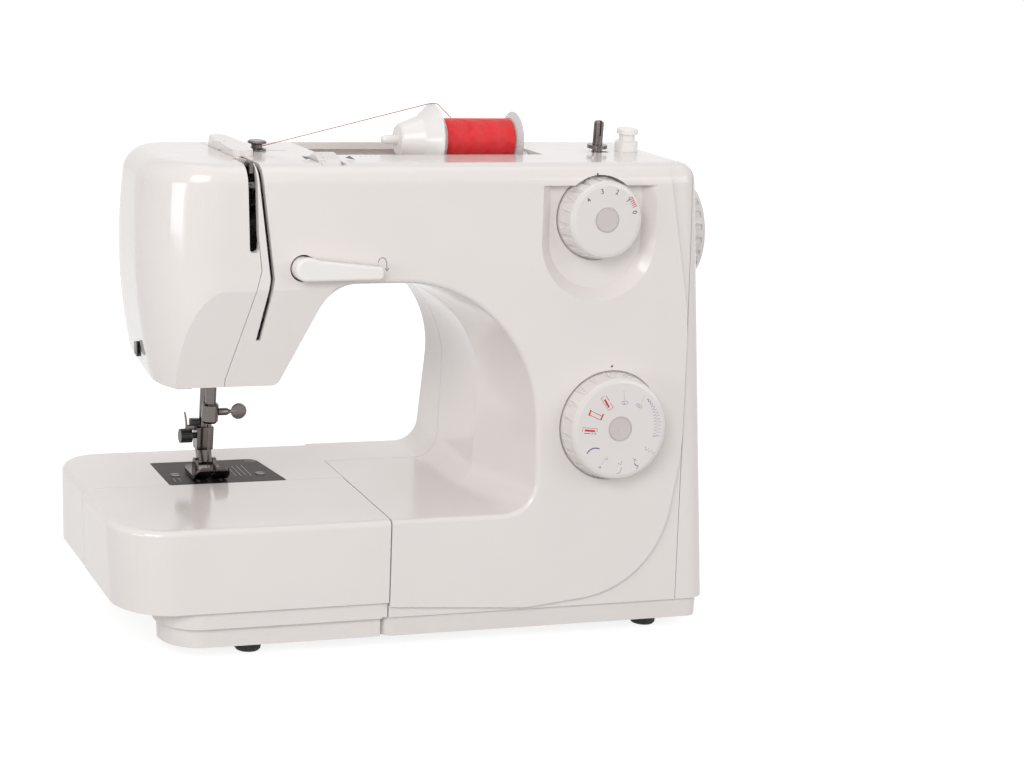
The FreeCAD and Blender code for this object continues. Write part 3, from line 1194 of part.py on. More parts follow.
def needle_clamp():
    """Clamp at the lower end of the needle bar."""
    clamp = revolve_z([(0, CLAMP_LOW_Z), (CLAMP_R - 1.2, CLAMP_LOW_Z), (CLAMP_R, CLAMP_LOW_Z + 1.5),
                       (CLAMP_R, CLAMP_HIGH_Z - 1),
                       (CLAMP_R - 0.8, CLAMP_HIGH_Z), (0, CLAMP_HIGH_Z)], NEEDLE_X, NEEDLE_Y)
    clamp = clamp.cut(rod_z(NEEDLE_BAR_R, NEEDLE_BAR_LOW_Z, CLAMP_HIGH_Z + 1, NEEDLE_X, NEEDLE_Y))
    clamp = clamp.cut(rod_z(NEEDLE_SHANK_R, CLAMP_LOW_Z - 1, NEEDLE_BAR_LOW_Z + 1, NEEDLE_X, NEEDLE_Y))
    return clamp.cut(rod_x(CLAMP_SCREW_R, NEEDLE_X + NEEDLE_SHANK_R + 1, NEEDLE_X + 20, NEEDLE_Y,
                           CLAMP_SCREW_Z))


def clamp_screw():
    """Screw of the needle clamp with a flat finger paddle."""
    screw = rod_x(CLAMP_SCREW_R, NEEDLE_X + NEEDLE_SHANK_R + 1.1, NEEDLE_X + 12, NEEDLE_Y, CLAMP_SCREW_Z)
    head = revolve_x([(NEEDLE_X + 11, 0), (NEEDLE_X + 11, 2.6), (NEEDLE_X + 12.5, 4.3),
                      (NEEDLE_X + 15.5, 4.3), (NEEDLE_X + 16.5, 3.2),
                      (NEEDLE_X + 16.5, 0)], NEEDLE_Y, CLAMP_SCREW_Z)
    return screw.fuse(head)


def needle():
    """Needle with a round shank, thinner blade and point."""
    return revolve_z([(0, NEEDLE_TIP_Z), (NEEDLE_R, NEEDLE_TIP_Z + 4.5), (NEEDLE_R, CLAMP_LOW_Z - 3),
                      (NEEDLE_SHANK_R - 0.02, CLAMP_LOW_Z - 2),
                      (NEEDLE_SHANK_R - 0.02, NEEDLE_BAR_LOW_Z), (0, NEEDLE_BAR_LOW_Z)], NEEDLE_X, NEEDLE_Y)


def needle_link():
    """Link between crank and needle bar block, beside the crank pin."""
    angle = math.radians(CRANK_REST_DEG)
    top_y = SHAFT_Y + CRANK_THROW * math.sin(angle)
    top_z_ = SHAFT_Z + CRANK_THROW * math.cos(angle)
    x0 = LINK_X
    x1 = LINK_X + LINK_THICK
    link = rod_x(5.5, x0, x1, NEEDLE_Y, BLOCK_Z).fuse(rod_x(5.5, x0, x1, top_y, top_z_))
    bar = [(NEEDLE_Y - 3.5, BLOCK_Z), (NEEDLE_Y + 3.5, BLOCK_Z), (top_y + 3.5, top_z_), (top_y - 3.5, top_z_)]
    link = link.fuse(prism_yz(bar, 0, x0, x1))
    link = link.cut(rod_x(2.5 + SHAFT_FIT, x0 - 1, x1 + 1, NEEDLE_Y, BLOCK_Z))
    return link.cut(rod_x(CRANK_PIN_R + SHAFT_FIT, x0 - 1, x1 + 1, top_y, top_z_))


def presser_bar():
    """Presser bar with its collar and lifting tongue."""
    bar = rod_z(PRESSER_BAR_R, PRESSER_LOW_Z, PRESSER_TOP_Z, NEEDLE_X, PRESSER_Y)
    bar = bar.fuse(rod_z(5.4, COLLAR_Z, COLLAR_Z + 7, NEEDLE_X, PRESSER_Y))
    tongue_low = LIFTER_Z + LIFTER_CAM_R + LIFTER_CAM_GAP
    tongue = box(NEEDLE_X - 4, NEEDLE_X + 1, PRESSER_Y, LIFTER_Y + 1.5, tongue_low, tongue_low + 4)
    return bar.fuse(tongue)


def presser_spring():
    """Spring of the presser bar, as a plain sleeve."""
    sleeve = rod_z(5.0, COLLAR_Z + 7.1, GUIDE_HIGH_Z - 0.1, NEEDLE_X, PRESSER_Y)
    return sleeve.cut(rod_z(PRESSER_BAR_R + 0.4, COLLAR_Z, GUIDE_HIGH_Z + 1, NEEDLE_X, PRESSER_Y))


def foot_holder():
    """Shank of the presser foot on the presser bar."""
    y = PRESSER_Y
    shank = prism_yz([(y - 4.6, HOLDER_LOW_Z), (y + 3.6, HOLDER_LOW_Z), (y + 4.6, HOLDER_LOW_Z + 6),
                      (y + 4.6, HOLDER_TOP_Z),
                      (y - 4.6, HOLDER_TOP_Z)], 0.8, NEEDLE_X - 5, NEEDLE_X + 5)
    shank = shank.cut(rod_z(PRESSER_BAR_R, PRESSER_LOW_Z, HOLDER_TOP_Z + 1, NEEDLE_X, PRESSER_Y))
    hinge = rod_x(2.2, NEEDLE_X - 4, NEEDLE_X + 4, FOOT_PIVOT_Y, FOOT_PIVOT_Z)
    arm = prism_yz([(y - 4.6, HOLDER_LOW_Z), (y + 3.6, HOLDER_LOW_Z), (FOOT_PIVOT_Y + 2.2, FOOT_PIVOT_Z),
                    (FOOT_PIVOT_Y - 2.2, FOOT_PIVOT_Z)],
                   0, NEEDLE_X - 4, NEEDLE_X + 4)
    shank = shank.fuse([hinge, arm])
    shank = shank.cut(rod_x(1.2 + PIN_FIT, NEEDLE_X - 9, NEEDLE_X + 9, FOOT_PIVOT_Y, FOOT_PIVOT_Z))
    return shank.cut(rod_x(SCREW_R, NEEDLE_X - 20, NEEDLE_X - PRESSER_BAR_R, PRESSER_Y, THUMB_SCREW_Z))


def thumb_screw():
    """Thumb screw that holds the shank on the bar."""
    x0 = NEEDLE_X - 5
    screw = rod_x(SCREW_R, x0 - 3, NEEDLE_X - PRESSER_BAR_R - 0.1, PRESSER_Y, THUMB_SCREW_Z)
    head = rod_x(4.2, x0 - 9.5, x0 - 2.5, PRESSER_Y, THUMB_SCREW_Z)
    for i in range(12):
        angle = 2 * math.pi * i / 12
        head = head.cut(rod_x(0.7, x0 - 10, x0 - 4, PRESSER_Y + 4.5 * math.cos(angle),
                              THUMB_SCREW_Z + 4.5 * math.sin(angle)))
    return screw.fuse(head)


def presser_foot():
    """Zigzag foot: sole with two toes, needle window and hinge ears."""
    x0 = NEEDLE_X - FOOT_WIDTH / 2
    x1 = NEEDLE_X + FOOT_WIDTH / 2
    y0 = NEEDLE_Y - 14
    y1 = y0 + FOOT_LENGTH
    side = [(y0, FOOT_SOLE_Z + 3.4), (y0 + 1, FOOT_SOLE_Z + 2.8), (y0 + 7, FOOT_SOLE_Z),
            (y1 - 4, FOOT_SOLE_Z), (y1, FOOT_SOLE_Z + 1.6),
            (y1, FOOT_SOLE_Z + 3.0), (y1 - 4, FOOT_SOLE_Z + FOOT_SOLE), (y0 + 8,
                                                                         FOOT_SOLE_Z + FOOT_SOLE), (y0,
                                                                         FOOT_SOLE_Z + 4.8)]
    plan = prism_xy([(x0, y0), (x1, y0), (x1, y1), (x0, y1)], [4.0, 4.0, 3.0, 3.0], FOOT_SOLE_Z - 1,
                    FOOT_SOLE_Z + 9)
    foot = prism_yz(side, 0, x0, x1).common(plan)
    foot = foot.cut(box(NEEDLE_X - 4, NEEDLE_X + 4, NEEDLE_Y - 2.4, NEEDLE_Y + 2.4, FOOT_SOLE_Z - 1,
                        FOOT_SOLE_Z + 9))
    foot = foot.cut(box(NEEDLE_X - 1.2, NEEDLE_X + 1.2, y0 - 1, NEEDLE_Y, FOOT_SOLE_Z - 1, FOOT_SOLE_Z + 9))
    for ear in (NEEDLE_X - 6.6, NEEDLE_X + 4.4):
        plate = prism_yz([(FOOT_PIVOT_Y - 4, FOOT_SOLE_Z + 1), (FOOT_PIVOT_Y + 4, FOOT_SOLE_Z + 1),
                          (FOOT_PIVOT_Y + 2.4, FOOT_PIVOT_Z + 2.4),
                          (FOOT_PIVOT_Y - 2.4, FOOT_PIVOT_Z + 2.4)], [0, 0, 1.8, 1.8], ear, ear + 2.2)
        foot = foot.fuse(plate)
    return foot.fuse(rod_x(1.2, NEEDLE_X - 6.6, NEEDLE_X + 6.6, FOOT_PIVOT_Y, FOOT_PIVOT_Z))


def presser_lifter():
    """Lever that lifts the foot: cam on a pivot pin and a handle behind the head."""
    points = []
    for i in range(LIFTER_STEPS + 1):
        turn = LIFTER_SWING * i / LIFTER_STEPS
        radius = LIFTER_CAM_R + LIFTER_RISE * i / LIFTER_STEPS
        points.append((LIFTER_Y + radius * math.sin(turn), LIFTER_Z + radius * math.cos(turn)))
    points.append((LIFTER_Y + 9, LIFTER_Z - 8))
    points.append((LIFTER_Y - 4.5, LIFTER_Z - 8))
    points.append((LIFTER_Y - 5.5, LIFTER_Z + 2))
    lever = prism_yz(points, 0, LIFTER_X - 4, LIFTER_X + 6)
    grip = [(LIFTER_Y - 4.5, LIFTER_Z - 7), (LIFTER_Y - 2, 152.0), (LIFTER_Y + 1, LIFTER_TIP_Z),
            (LIFTER_Y + 8, LIFTER_TIP_Z),
            (LIFTER_Y + 6, 152.0), (LIFTER_Y + 9, LIFTER_Z - 7)]
    handle = prism_yz(grip, [0, 0, 3.0, 3.0, 0, 0], LIFTER_X - 4.5, LIFTER_X + 4.5)
    pin = rod_x(LIFTER_PIN_R, LIFTER_X - 12.5, LIFTER_X + 13, LIFTER_Y, LIFTER_Z)
    return lever.fuse([handle, pin])


def take_up_lever():
    """Take-up lever: pivot boss, arm and thread eye at the tip."""
    x0 = TAKE_UP_X - TAKE_UP_THICK / 2
    x1 = TAKE_UP_X + TAKE_UP_THICK / 2
    boss = rod_x(6.5, x0, x1, TAKE_UP_Y, TAKE_UP_Z)
    outline = [(TAKE_UP_Y - 5, TAKE_UP_Z - 4), (TAKE_UP_Y + 4, TAKE_UP_Z + 5),
               (TAKE_UP_TIP_Y + 5, TAKE_UP_TIP_Z), (TAKE_UP_TIP_Y - 2, TAKE_UP_TIP_Z + 1),
               (TAKE_UP_TIP_Y - 2.5, TAKE_UP_TIP_Z - 6)]
    lever = boss.fuse(prism_yz(outline, [0, 0, 1.5, 1.5, 1.5], x0, x1))
    lever = lever.cut(rod_x(1.1, x0 - 1, x1 + 1, TAKE_UP_TIP_Y + 0.6, TAKE_UP_TIP_Z - 2.2))
    return lever.fuse(rod_x(TAKE_UP_PIN_R, TAKE_UP_X - 8.5, x1, TAKE_UP_Y, TAKE_UP_Z))


def fluted_dial(radius, back, front, shaft_end):
    """Round knob drawn about the Y axis: flared skirt, scalloped rim, crowned face, shaft behind."""
    profile = [(shaft_end, 0), (shaft_end, DIAL_SHAFT_R), (back, DIAL_SHAFT_R), (back, radius),
               (back - 2, radius),
               (front + DIAL_CROWN, radius - 1.6), (front + 0.6, radius - 2.6), (front,
                                                                                 radius - 4.4), (front,
                                                                                 DIAL_BUTTON_R + 0.5),
               (front + 0.6, DIAL_BUTTON_R + 0.3), (front + 0.6, DIAL_BUTTON_R), (front - 0.3,
                                                                                  DIAL_BUTTON_R - 0.5),
                                                                                  (front - 0.3, 0)]
    knob = revolve_y(profile, 0, 0)
    for i in range(FLUTES):
        angle = 2 * math.pi * (i + 0.5) / FLUTES
        x = (radius + FLUTE_R * 0.25) * math.cos(angle)
        z = (radius + FLUTE_R * 0.25) * math.sin(angle)
        knob = knob.cut(rod_y(FLUTE_R, front - 1, back - 3.0, x, z))
    return knob


def stitch_length_dial():
    """Upper dial, sunk in its thumb well."""
    back = WELL_DEPTH + DIAL_SINK - 0.5
    return facing(fluted_dial(LENGTH_DIAL_R, back, -LENGTH_DIAL_OUT, back + DIAL_SHAFT), LENGTH_DIAL_X,
                  LENGTH_DIAL_Z)


def pattern_dial():
    """Lower dial, which selects the stitch."""
    back = DIAL_SINK - 0.5
    return facing(fluted_dial(PATTERN_DIAL_R, back, -DIAL_HEIGHT, back + DIAL_SHAFT), PATTERN_DIAL_X,
                  PATTERN_DIAL_Z)


def pattern_cams():
    """Stack of pattern cams on the shaft of the pattern dial."""
    start = DIAL_SINK - 0.5 + DIAL_SHAFT
    stack = rod_y(DIAL_SHAFT_R, start, start + CAM_COUNT * CAM_PITCH + 6, 0, 0)
    for i in range(CAM_COUNT):
        y = start + 4 + i * CAM_PITCH
        cam = rod_y(CAM_R, y, y + CAM_THICK, 0, 0)
        for j in range(CAM_LOBES):
            angle = 2 * math.pi * j / CAM_LOBES + i * 0.35
            cam = cam.cut(rod_y(4.0, y - 1, y + CAM_THICK + 1, (CAM_R + 1.5) * math.cos(angle),
                                (CAM_R + 1.5) * math.sin(angle)))
        stack = stack.fuse(cam)
    return facing(stack, PATTERN_DIAL_X, PATTERN_DIAL_Z)


def reverse_lever():
    """Reverse lever: shaft through the front and a slim paddle to the right."""
    shaft = rod_y(LEVER_SHAFT_R, -LEVER_OUT, LEVER_DEPTH, 0, 0)
    hub = LEVER_SHAFT_R
    tip_low = -LEVER_DROP - 3.4
    tip_high = -LEVER_DROP + 3.8
    side = [(-hub, -hub), (2, -hub), (LEVER_LENGTH - 8, tip_low), (LEVER_LENGTH, tip_low),
            (LEVER_LENGTH, tip_high),
            (8, hub * 0.75), (2, hub), (-hub, hub)]
    paddle = prism_xz(side, [hub * 0.95, 0, 0, 2.5, 2.5, 14.0, 0, hub * 0.95], -LEVER_OUT, -LEVER_LIFT)
    front = edges_of(paddle, lambda e: e.BoundBox.YMax < -LEVER_OUT + 0.01)
    paddle = paddle.makeFillet(LEVER_EDGE, front)
    return facing(shaft.common(rod_y(LEVER_SHAFT_R, -LEVER_OUT + LEVER_EDGE, LEVER_DEPTH, 0,
                                     0)).fuse(paddle), LEVER_X, LEVER_Z)


def tension_dial():
    """Thread tension dial, of which the rim shows in the top."""
    x0 = TENSION_X - TENSION_WIDTH / 2
    x1 = TENSION_X + TENSION_WIDTH / 2
    dial = revolve_x([(x0, TENSION_STUD_R + SHAFT_FIT), (x0, TENSION_R - 1.2), (x0 + 1.2, TENSION_R),
                      (x1 - 1.2, TENSION_R), (x1, TENSION_R - 1.2),
                      (x1, TENSION_STUD_R + SHAFT_FIT)], TENSION_Y, TENSION_Z)
    for i in range(TENSION_NOTCHES):
        angle = 2 * math.pi * i / TENSION_NOTCHES
        dial = dial.cut(rod_x(0.8, x0 - 1, x0 + 3.5, TENSION_Y + TENSION_R * math.cos(angle),
                              TENSION_Z + TENSION_R * math.sin(angle)))
    return dial


def tension_discs():
    """Tension stud with two dished discs and a spring sleeve."""
    x = TENSION_DISC_X
    stud = rod_x(TENSION_STUD_R, x - 4, TENSION_X + TENSION_WIDTH / 2 + 1, TENSION_Y, TENSION_Z)
    for side in (-1, 1):
        disc = revolve_x([(x + side * 0.4, 0), (x + side * 0.4, 8), (x + side * 1.6, 11),
                          (x + side * 2.4, 11), (x + side * 1.2, 8), (x + side * 1.2, 0)],
                         TENSION_Y, TENSION_Z)
        stud = stud.fuse(disc)
    return stud.fuse(rod_x(5.5, x + 1, TENSION_X - 23.2, TENSION_Y, TENSION_Z))


def winder_spindle():
    """Bobbin winder spindle with a split top."""
    tip = WINDER_TOP_Z
    spindle = revolve_z([(0, WINDER_SHELF_Z + 0.3), (WINDER_R, WINDER_SHELF_Z + 0.3), (WINDER_R, tip - 1.2),
                         (WINDER_R - 1.2, tip), (0, tip)],
                        WINDER_X, WINDER_Y)
    spindle = spindle.cut(box(WINDER_X - 0.4, WINDER_X + 0.4, WINDER_Y - 4, WINDER_Y + 4, tip - 9, tip + 1))
    return spindle.fuse(rod_z(WINDER_R + 3, TOP_FRONT_Z - 0.5, TOP_FRONT_Z + 1.5, WINDER_X, WINDER_Y).cut(
        rod_z(WINDER_R - 0.5, TOP_FRONT_Z - 2, TOP_FRONT_Z + 2, WINDER_X, WINDER_Y)))


def winder_tyre():
    """Rubber friction tyre on the winder spindle."""
    z0 = WINDER_SHELF_Z + 6
    return rod_z(TYRE_R, z0, z0 + 6, WINDER_X, WINDER_Y).cut(rod_z(WINDER_R, z0 - 1, z0 + 7, WINDER_X,
                                                                   WINDER_Y))


def winder_arm():
    """Sliding plate that carries the winder spindle."""
    z0 = WINDER_SHELF_Z + 0.2
    plate = prism_xy([(WINDER_X - 9, WINDER_Y - 7), (WINDER_X + 11, WINDER_Y - 7),
                      (WINDER_X + 11, WINDER_Y + 9), (WINDER_X - 9, WINDER_Y + 9)], 3.0,
                     z0, z0 + 4)
    return plate.cut(rod_z(WINDER_R + SHAFT_FIT, z0 - 1, z0 + 5, WINDER_X, WINDER_Y))


def bobbin_stop():
    """Knob beside the winder that stops the full bobbin."""
    z0 = top_z(STOP_Y)
    knob = revolve_z([(0, z0 - 1), (STOP_R, z0 - 1), (STOP_R, z0 + 6), (STOP_R - 2.2, z0 + 7),
                      (STOP_R - 2.2, z0 + 10), (STOP_R - 0.5, z0 + 10.6),
                      (STOP_R - 0.5, z0 + 13), (STOP_R - 1.3, z0 + 13.8), (0, z0 + 13.8)], STOP_X, STOP_Y)
    return above_top(knob, TOP_GAP)


def spool_pin():
    """Spool pin on a post that stands in the trough."""
    post_x = SPOOL_RIGHT_X + 0.8
    pin = revolve_x([(SPOOL_PIN_LEFT_X, 0), (SPOOL_PIN_LEFT_X + 1, SPOOL_PIN_R - 0.8),
                     (SPOOL_PIN_LEFT_X + 3, SPOOL_PIN_R), (post_x + 3, SPOOL_PIN_R),
                     (post_x + 3, 0)], SPOOL_Y, SPOOL_Z)
    post = prism_yz([(SPOOL_Y - 8, TROUGH_FLOOR_Z), (SPOOL_Y + 8, TROUGH_FLOOR_Z),
                     (SPOOL_Y + 5, SPOOL_Z + 5), (SPOOL_Y - 5, SPOOL_Z + 5)],
                    [0, 0, 4.5, 4.5], post_x, post_x + 3)
    return pin.fuse(post)


def spool_cap():
    """Spool cap: broad rim with a cone towards the free end of the pin."""
    bore = SPOOL_PIN_R + 0.05
    x1 = SPOOL_LEFT_X - CAP_SPOOL_GAP
    x0 = x1 - CAP_RIM
    return revolve_x([(CAP_LEFT_X, bore), (CAP_LEFT_X, CAP_SMALL_R - 1), (CAP_LEFT_X + 1, CAP_SMALL_R),
                      (CAP_HUB_X, CAP_RIM_R - 7), (x0, CAP_RIM_R - 0.8),
                      (x0 + 0.8, CAP_RIM_R), (x1 - 0.8, CAP_RIM_R), (x1, CAP_RIM_R - 0.8), (x1,
                                                                                            bore)], SPOOL_Y,
                                                                                            SPOOL_Z)


def thread_spool():
    """Plastic spool with two flanges."""
    bore = SPOOL_PIN_R + SPOOL_FIT
    x0 = SPOOL_LEFT_X
    x1 = SPOOL_RIGHT_X
    f = SPOOL_FLANGE
    r = SPOOL_FLANGE_R
    return revolve_x([(x0, bore), (x0, r - 1), (x0 + 1, r), (x0 + f - 2, r), (x0 + f, r - 2.5),
                      (x0 + f, SPOOL_CORE_R), (x1 - f, SPOOL_CORE_R),
                      (x1 - f, r - 2.5), (x1 - f + 2, r), (x1 - 1, r), (x1, r - 1), (x1,
                                                                                     bore)], SPOOL_Y,
                                                                                     SPOOL_Z)


def arc_from(start, tangent, end):
    """Arc that leaves the start along the tangent and runs to the end."""
    chord = end - start
    along = V(chord).normalize()
    side = (tangent - along * tangent.dot(along)).normalize()
    sag = chord.Length / 2 * math.tan(tangent.getAngle(along) / 2)
    return Part.Arc(start, (start + end) * 0.5 + side * sag, end).toShape()


def biarc(start, leave, end, arrive):
    """Two arcs that meet smoothly, with a given direction at each end."""
    span = end - start
    both = leave + arrive
    turn = 2 * (1 - leave.dot(arrive))
    reach = (math.sqrt(span.dot(both) ** 2 + turn * span.dot(span)) - span.dot(both)) / turn
    meet = (start + end + (leave - arrive) * reach) * 0.5
    first = arc_from(start, leave, meet)
    last = arc_from(end, arrive * -1, meet)
    half = last.valueAt((last.FirstParameter + last.LastParameter) / 2)
    return [first, Part.Arc(meet, half, end).toShape()]


def winding_point(turn):
    """Point and direction of the winding after a number of turns."""
    angle = 2 * math.pi * turn
    left = SPOOL_LEFT_X + SPOOL_FLANGE + THREAD_TUBE_R + THREAD_END_GAP
    right = SPOOL_RIGHT_X - SPOOL_FLANGE - THREAD_TUBE_R - THREAD_END_GAP
    pitch = (right - left) / THREAD_TURNS
    point = V(left + pitch * turn, SPOOL_Y + THREAD_PATH_R * math.cos(angle),
              SPOOL_Z + THREAD_PATH_R * math.sin(angle))
    way = V(pitch, -2 * math.pi * THREAD_PATH_R * math.sin(angle),
            2 * math.pi * THREAD_PATH_R * math.cos(angle))
    return point, way.normalize()


def print_winding_gap():
    """Measure the least gap between the winding and its own next turns, on points of its middle line."""
    steps = 24
    points = [winding_point(i / steps)[0] for i in range(THREAD_TURNS * steps + 1)]
    least = min(points[i].distanceToPoint(points[j]) for i in range(len(points))
                for j in range(i + steps // 2, min(i + 2 * steps, len(points))))
    print("winding: turns", THREAD_TURNS, "radius", THREAD_PATH_R, "least gap",
          round(least - 2 * THREAD_TUBE_R, 3))


def spool_thread():
    """Thread wound on the spool: one unbroken tube, on two arcs for each half turn."""
    edges = []
    for i in range(2 * THREAD_TURNS):
        start, leave = winding_point(i / 2)
        end, arrive = winding_point((i + 1) / 2)
        edges += biarc(start, leave, end, arrive)
    start, leave = winding_point(0)
    side = (V(1, 0, 0) - leave * leave.x).normalize()
    rise = leave.cross(side)
    corners = []
    for k in range(6):
        angle = k * math.pi / 3
        corners.append(start + side * (THREAD_TUBE_R * math.cos(angle)) + rise * (THREAD_TUBE_R * math.sin(angle)))
    profile = Part.makePolygon(corners + corners[:1])
    print_winding_gap()
    return Part.Wire(edges).makePipeShell([profile], True, False)


def thread_route():
    """Corners of the thread from the spool over the cap rim to the guide stud."""
    r = THREAD_LINE_R
    y = SPOOL_Y - 1
    rim_right = SPOOL_LEFT_X - CAP_SPOOL_GAP
    lift = SPOOL_Z + CAP_RIM_R + r + THREAD_LIFT
    start = V(SPOOL_LEFT_X + SPOOL_FLANGE + 6, y, SPOOL_Z + THREAD_R + r + THREAD_LIFT)
    over = V(rim_right + 0.6, y, lift)
    past = V(rim_right - CAP_RIM - 0.6, y, lift)
    end = V(STUD_X + STUD_NECK_R + r + 0.1, STUD_Y, STUD_THREAD_Z)
    return [start, over, past, end]


def top_thread():
    """Thread from the spool over the cap rim to the guide stud: straight runs joined by tangent arcs."""
    route = thread_route()
    here = route[0]
    edges = []
    for i in (1, 2):
        back = (route[i - 1] - route[i]).normalize()
        ahead = (route[i + 1] - route[i]).normalize()
        half = back.getAngle(ahead) / 2
        reach = THREAD_BEND_R / math.tan(half)
        inward = (back + ahead).normalize()
        middle_point = route[i] + inward * (THREAD_BEND_R / math.sin(half) - THREAD_BEND_R)
        edges.append(Part.makeLine(here, route[i] + back * reach))
        here = route[i] + ahead * reach
        edges.append(Part.Arc(route[i] + back * reach, middle_point, here).toShape())
    edges.append(Part.makeLine(here, route[3]))
    ring = Part.Wire(Part.makeCircle(THREAD_LINE_R, route[0], route[1] - route[0]))
    print("top thread: radius", THREAD_LINE_R, "bend radii", THREAD_BEND_R, THREAD_BEND_R)
    return Part.Wire(edges).makePipeShell([ring], True, False)


def thread_guide():
    """Raised thread guide on the top of the head."""
    z0 = top_z(GUIDE_Y) - GUIDE_SINK
    points = [(GUIDE_X - 9, GUIDE_Y + 24), (GUIDE_X + 1, GUIDE_Y + 26), (GUIDE_X + 5, GUIDE_Y - 2),
              (GUIDE_X + 3, GUIDE_Y - 30), (GUIDE_X - 9, GUIDE_Y - 30)]
    plate = prism_xy(points, [4.0, 4.0, 6.0, 5.0, 5.0], z0, z0 + GUIDE_HIGH)
    return above_top(plate, TOP_GAP)


def guide_stud():
    """Small metal stud that turns the thread."""
    z0 = top_z(STUD_Y)
    stud = revolve_z([(0, z0 - 1), (STUD_R, z0 - 1), (STUD_R, z0 + 1.2), (STUD_NECK_R, z0 + 1.8),
                      (STUD_NECK_R, z0 + 3.6), (STUD_R, z0 + 4.6), (STUD_R, z0 + 5.4),
                      (STUD_R - 1, z0 + 6), (0, z0 + 6)], STUD_X, STUD_Y)
    return above_top(stud, TOP_GAP)


def on_end(shape, y, z):
    """Move a piece drawn on the YZ plane at the origin, outside towards +X, to the leaning handwheel end."""
    shape.rotate(V(0, 0, 0), V(0, 1, 0), -math.degrees(math.atan(END_LEAN)))
    shape.translate(V(end_x(z), y, z))
    return shape


def power_switch():
    """Rocker switch in the handwheel end."""
    long = SWITCH_LONG - 0.6
    high = SWITCH_HIGH - 1.6
    rocker = prism([V(-6, -long / 2, -high / 2), V(-6, -long / 2, high / 2), V(0.9, -long / 2, high / 2),
                    V(-0.3, -long / 2, 0), V(0.3, -long / 2, -high / 2)],
                   0, V(0, long, 0))
    return on_end(rocker, SWITCH_Y, SWITCH_Z)


def power_inlet():
    """Inlet socket for the mains and pedal lead, with three pins."""
    long = INLET_LONG - 0.4
    high = INLET_HIGH - 0.4
    body = box(-16, -0.4, -long / 2, long / 2, -high / 2, high / 2)
    body = body.cut(box(-11, 1, -long / 2 + 3, long / 2 - 3, -high / 2 + 3, high / 2 - 3))
    for y in (-9.0, 0.0, 9.0):
        body = body.fuse(rod_x(1.6, -12, -2.5, y, 0))
    return on_end(body, INLET_Y, INLET_Z)


def thread_cutter():
    """Small thread cutter on the needle end of the face cover."""
    holder = prism_yz([(-4.5, -4), (4.5, -4), (4.5, 3), (-4.5, 5)], 1.2, -2.6, -TOP_GAP)
    holder = holder.cut(box(-1.8, -0.8, -9, 1.5, -2.2, 9))
    holder.rotate(V(0, 0, 0), V(0, 1, 0), -HEAD_LEAN_DEG)
    holder.rotate(V(0, 0, 0), V(0, 0, 1), -HEAD_SKEW_DEG)
    lean = math.tan(math.radians(HEAD_LEAN_DEG))
    skew = math.tan(math.radians(HEAD_SKEW_DEG))
    holder.translate(V(HEAD_X + (HEAD_MID_Z - CUTTER_Z) * lean + CUTTER_Y * skew, CUTTER_Y, CUTTER_Z))
    return holder


def cover_screws():
    """Screws in the back of the casing."""
    screws = []
    for x, z in SCREW_PLACES:
        head = back_screw(x, z, SCREW_HEAD_R, SCREW_HEAD_HIGH + SCREW_GAP)
        shank = back_screw(x, z, SCREW_R, 3 * WALL)
        cross = back_screw(x, z, SCREW_HEAD_R, 1.2).common(box(x - 0.6, x + 0.6, -200, 200, z - 2.4,
                                                               z + 2.4).fuse(
            box(x - 2.4, x + 2.4, -200, 200, z - 0.6, z + 0.6)))
        screws.append(head.fuse(shank).cut(cross).cut(back_screw(x, z, SCREW_HEAD_R + 1, SCREW_GAP)))
    return screws


def lamp():
    """Lamp bulb in its socket inside the head."""
    bulb = revolve_z([(0, 158.5), (4, 159.5), (6.5, 163), (6.5, 170), (5, 177), (0, 177)], LAMP_X, LAMP_Y)
    socket = rod_z(8.0, 177.0, 196.0, LAMP_X, LAMP_Y)
    return bulb.fuse([socket, box(LAMP_X, FRAME_LEFT_X + 2, LAMP_Y - 4, LAMP_Y + 4, 184, 192),
                      box(FRAME_LEFT_X + 0.5, FRAME_LEFT_X + 4, LAMP_Y - 4, FRAME_Y, 184, 192)])


def save(name, shape):
    """Write one named piece; several solids in one piece are kept together."""
    solids = shape if isinstance(shape, list) else shape.Solids
    for solid in solids:
        if not solid.isValid():
            print("not valid:", name)
    out = solids[0] if len(solids) == 1 else Part.makeCompound(solids)
    out.exportStep("parts/" + name + ".step")


def main():
    os.makedirs("parts", exist_ok=True)
    face, front, rear, end = covers()
    save("face_cover", largest(face))
    save("front_cover", largest(front))
    save("rear_cover", largest(rear))
    save("end_cover", largest(end))
    save("base_feet", [rubber_foot(x, y) for x, y in BASE_FEET])
    save("extension_foot", rubber_foot(*TABLE_FOOT))
    for make in (base_plate, free_arm_floor, extension_table, shuttle_cover, needle_plate, plate_screws,
                 feed_dog, carrying_handle, main_frame, upper_shaft, handwheel, motor, motor_pulley,
                 drive_belt, shuttle_race, shuttle_hook, hook_shaft, bobbin_case, bobbin, needle_bar,
                 needle_clamp, clamp_screw, needle, needle_link, presser_bar, presser_spring, foot_holder,
                 thumb_screw, presser_foot, presser_lifter, take_up_lever, stitch_length_dial,
                 pattern_dial, pattern_cams, reverse_lever, tension_dial, tension_discs, winder_spindle,
                 winder_tyre, winder_arm, bobbin_stop, spool_pin, spool_cap, thread_spool, spool_thread,
                 top_thread, thread_guide, guide_stud, power_switch, power_inlet, thread_cutter,
                 cover_screws, lamp):
        save(make.__name__, make())


if __name__ == "__main__":
    main()
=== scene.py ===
import math

import bpy
from mathutils import Matrix, Vector


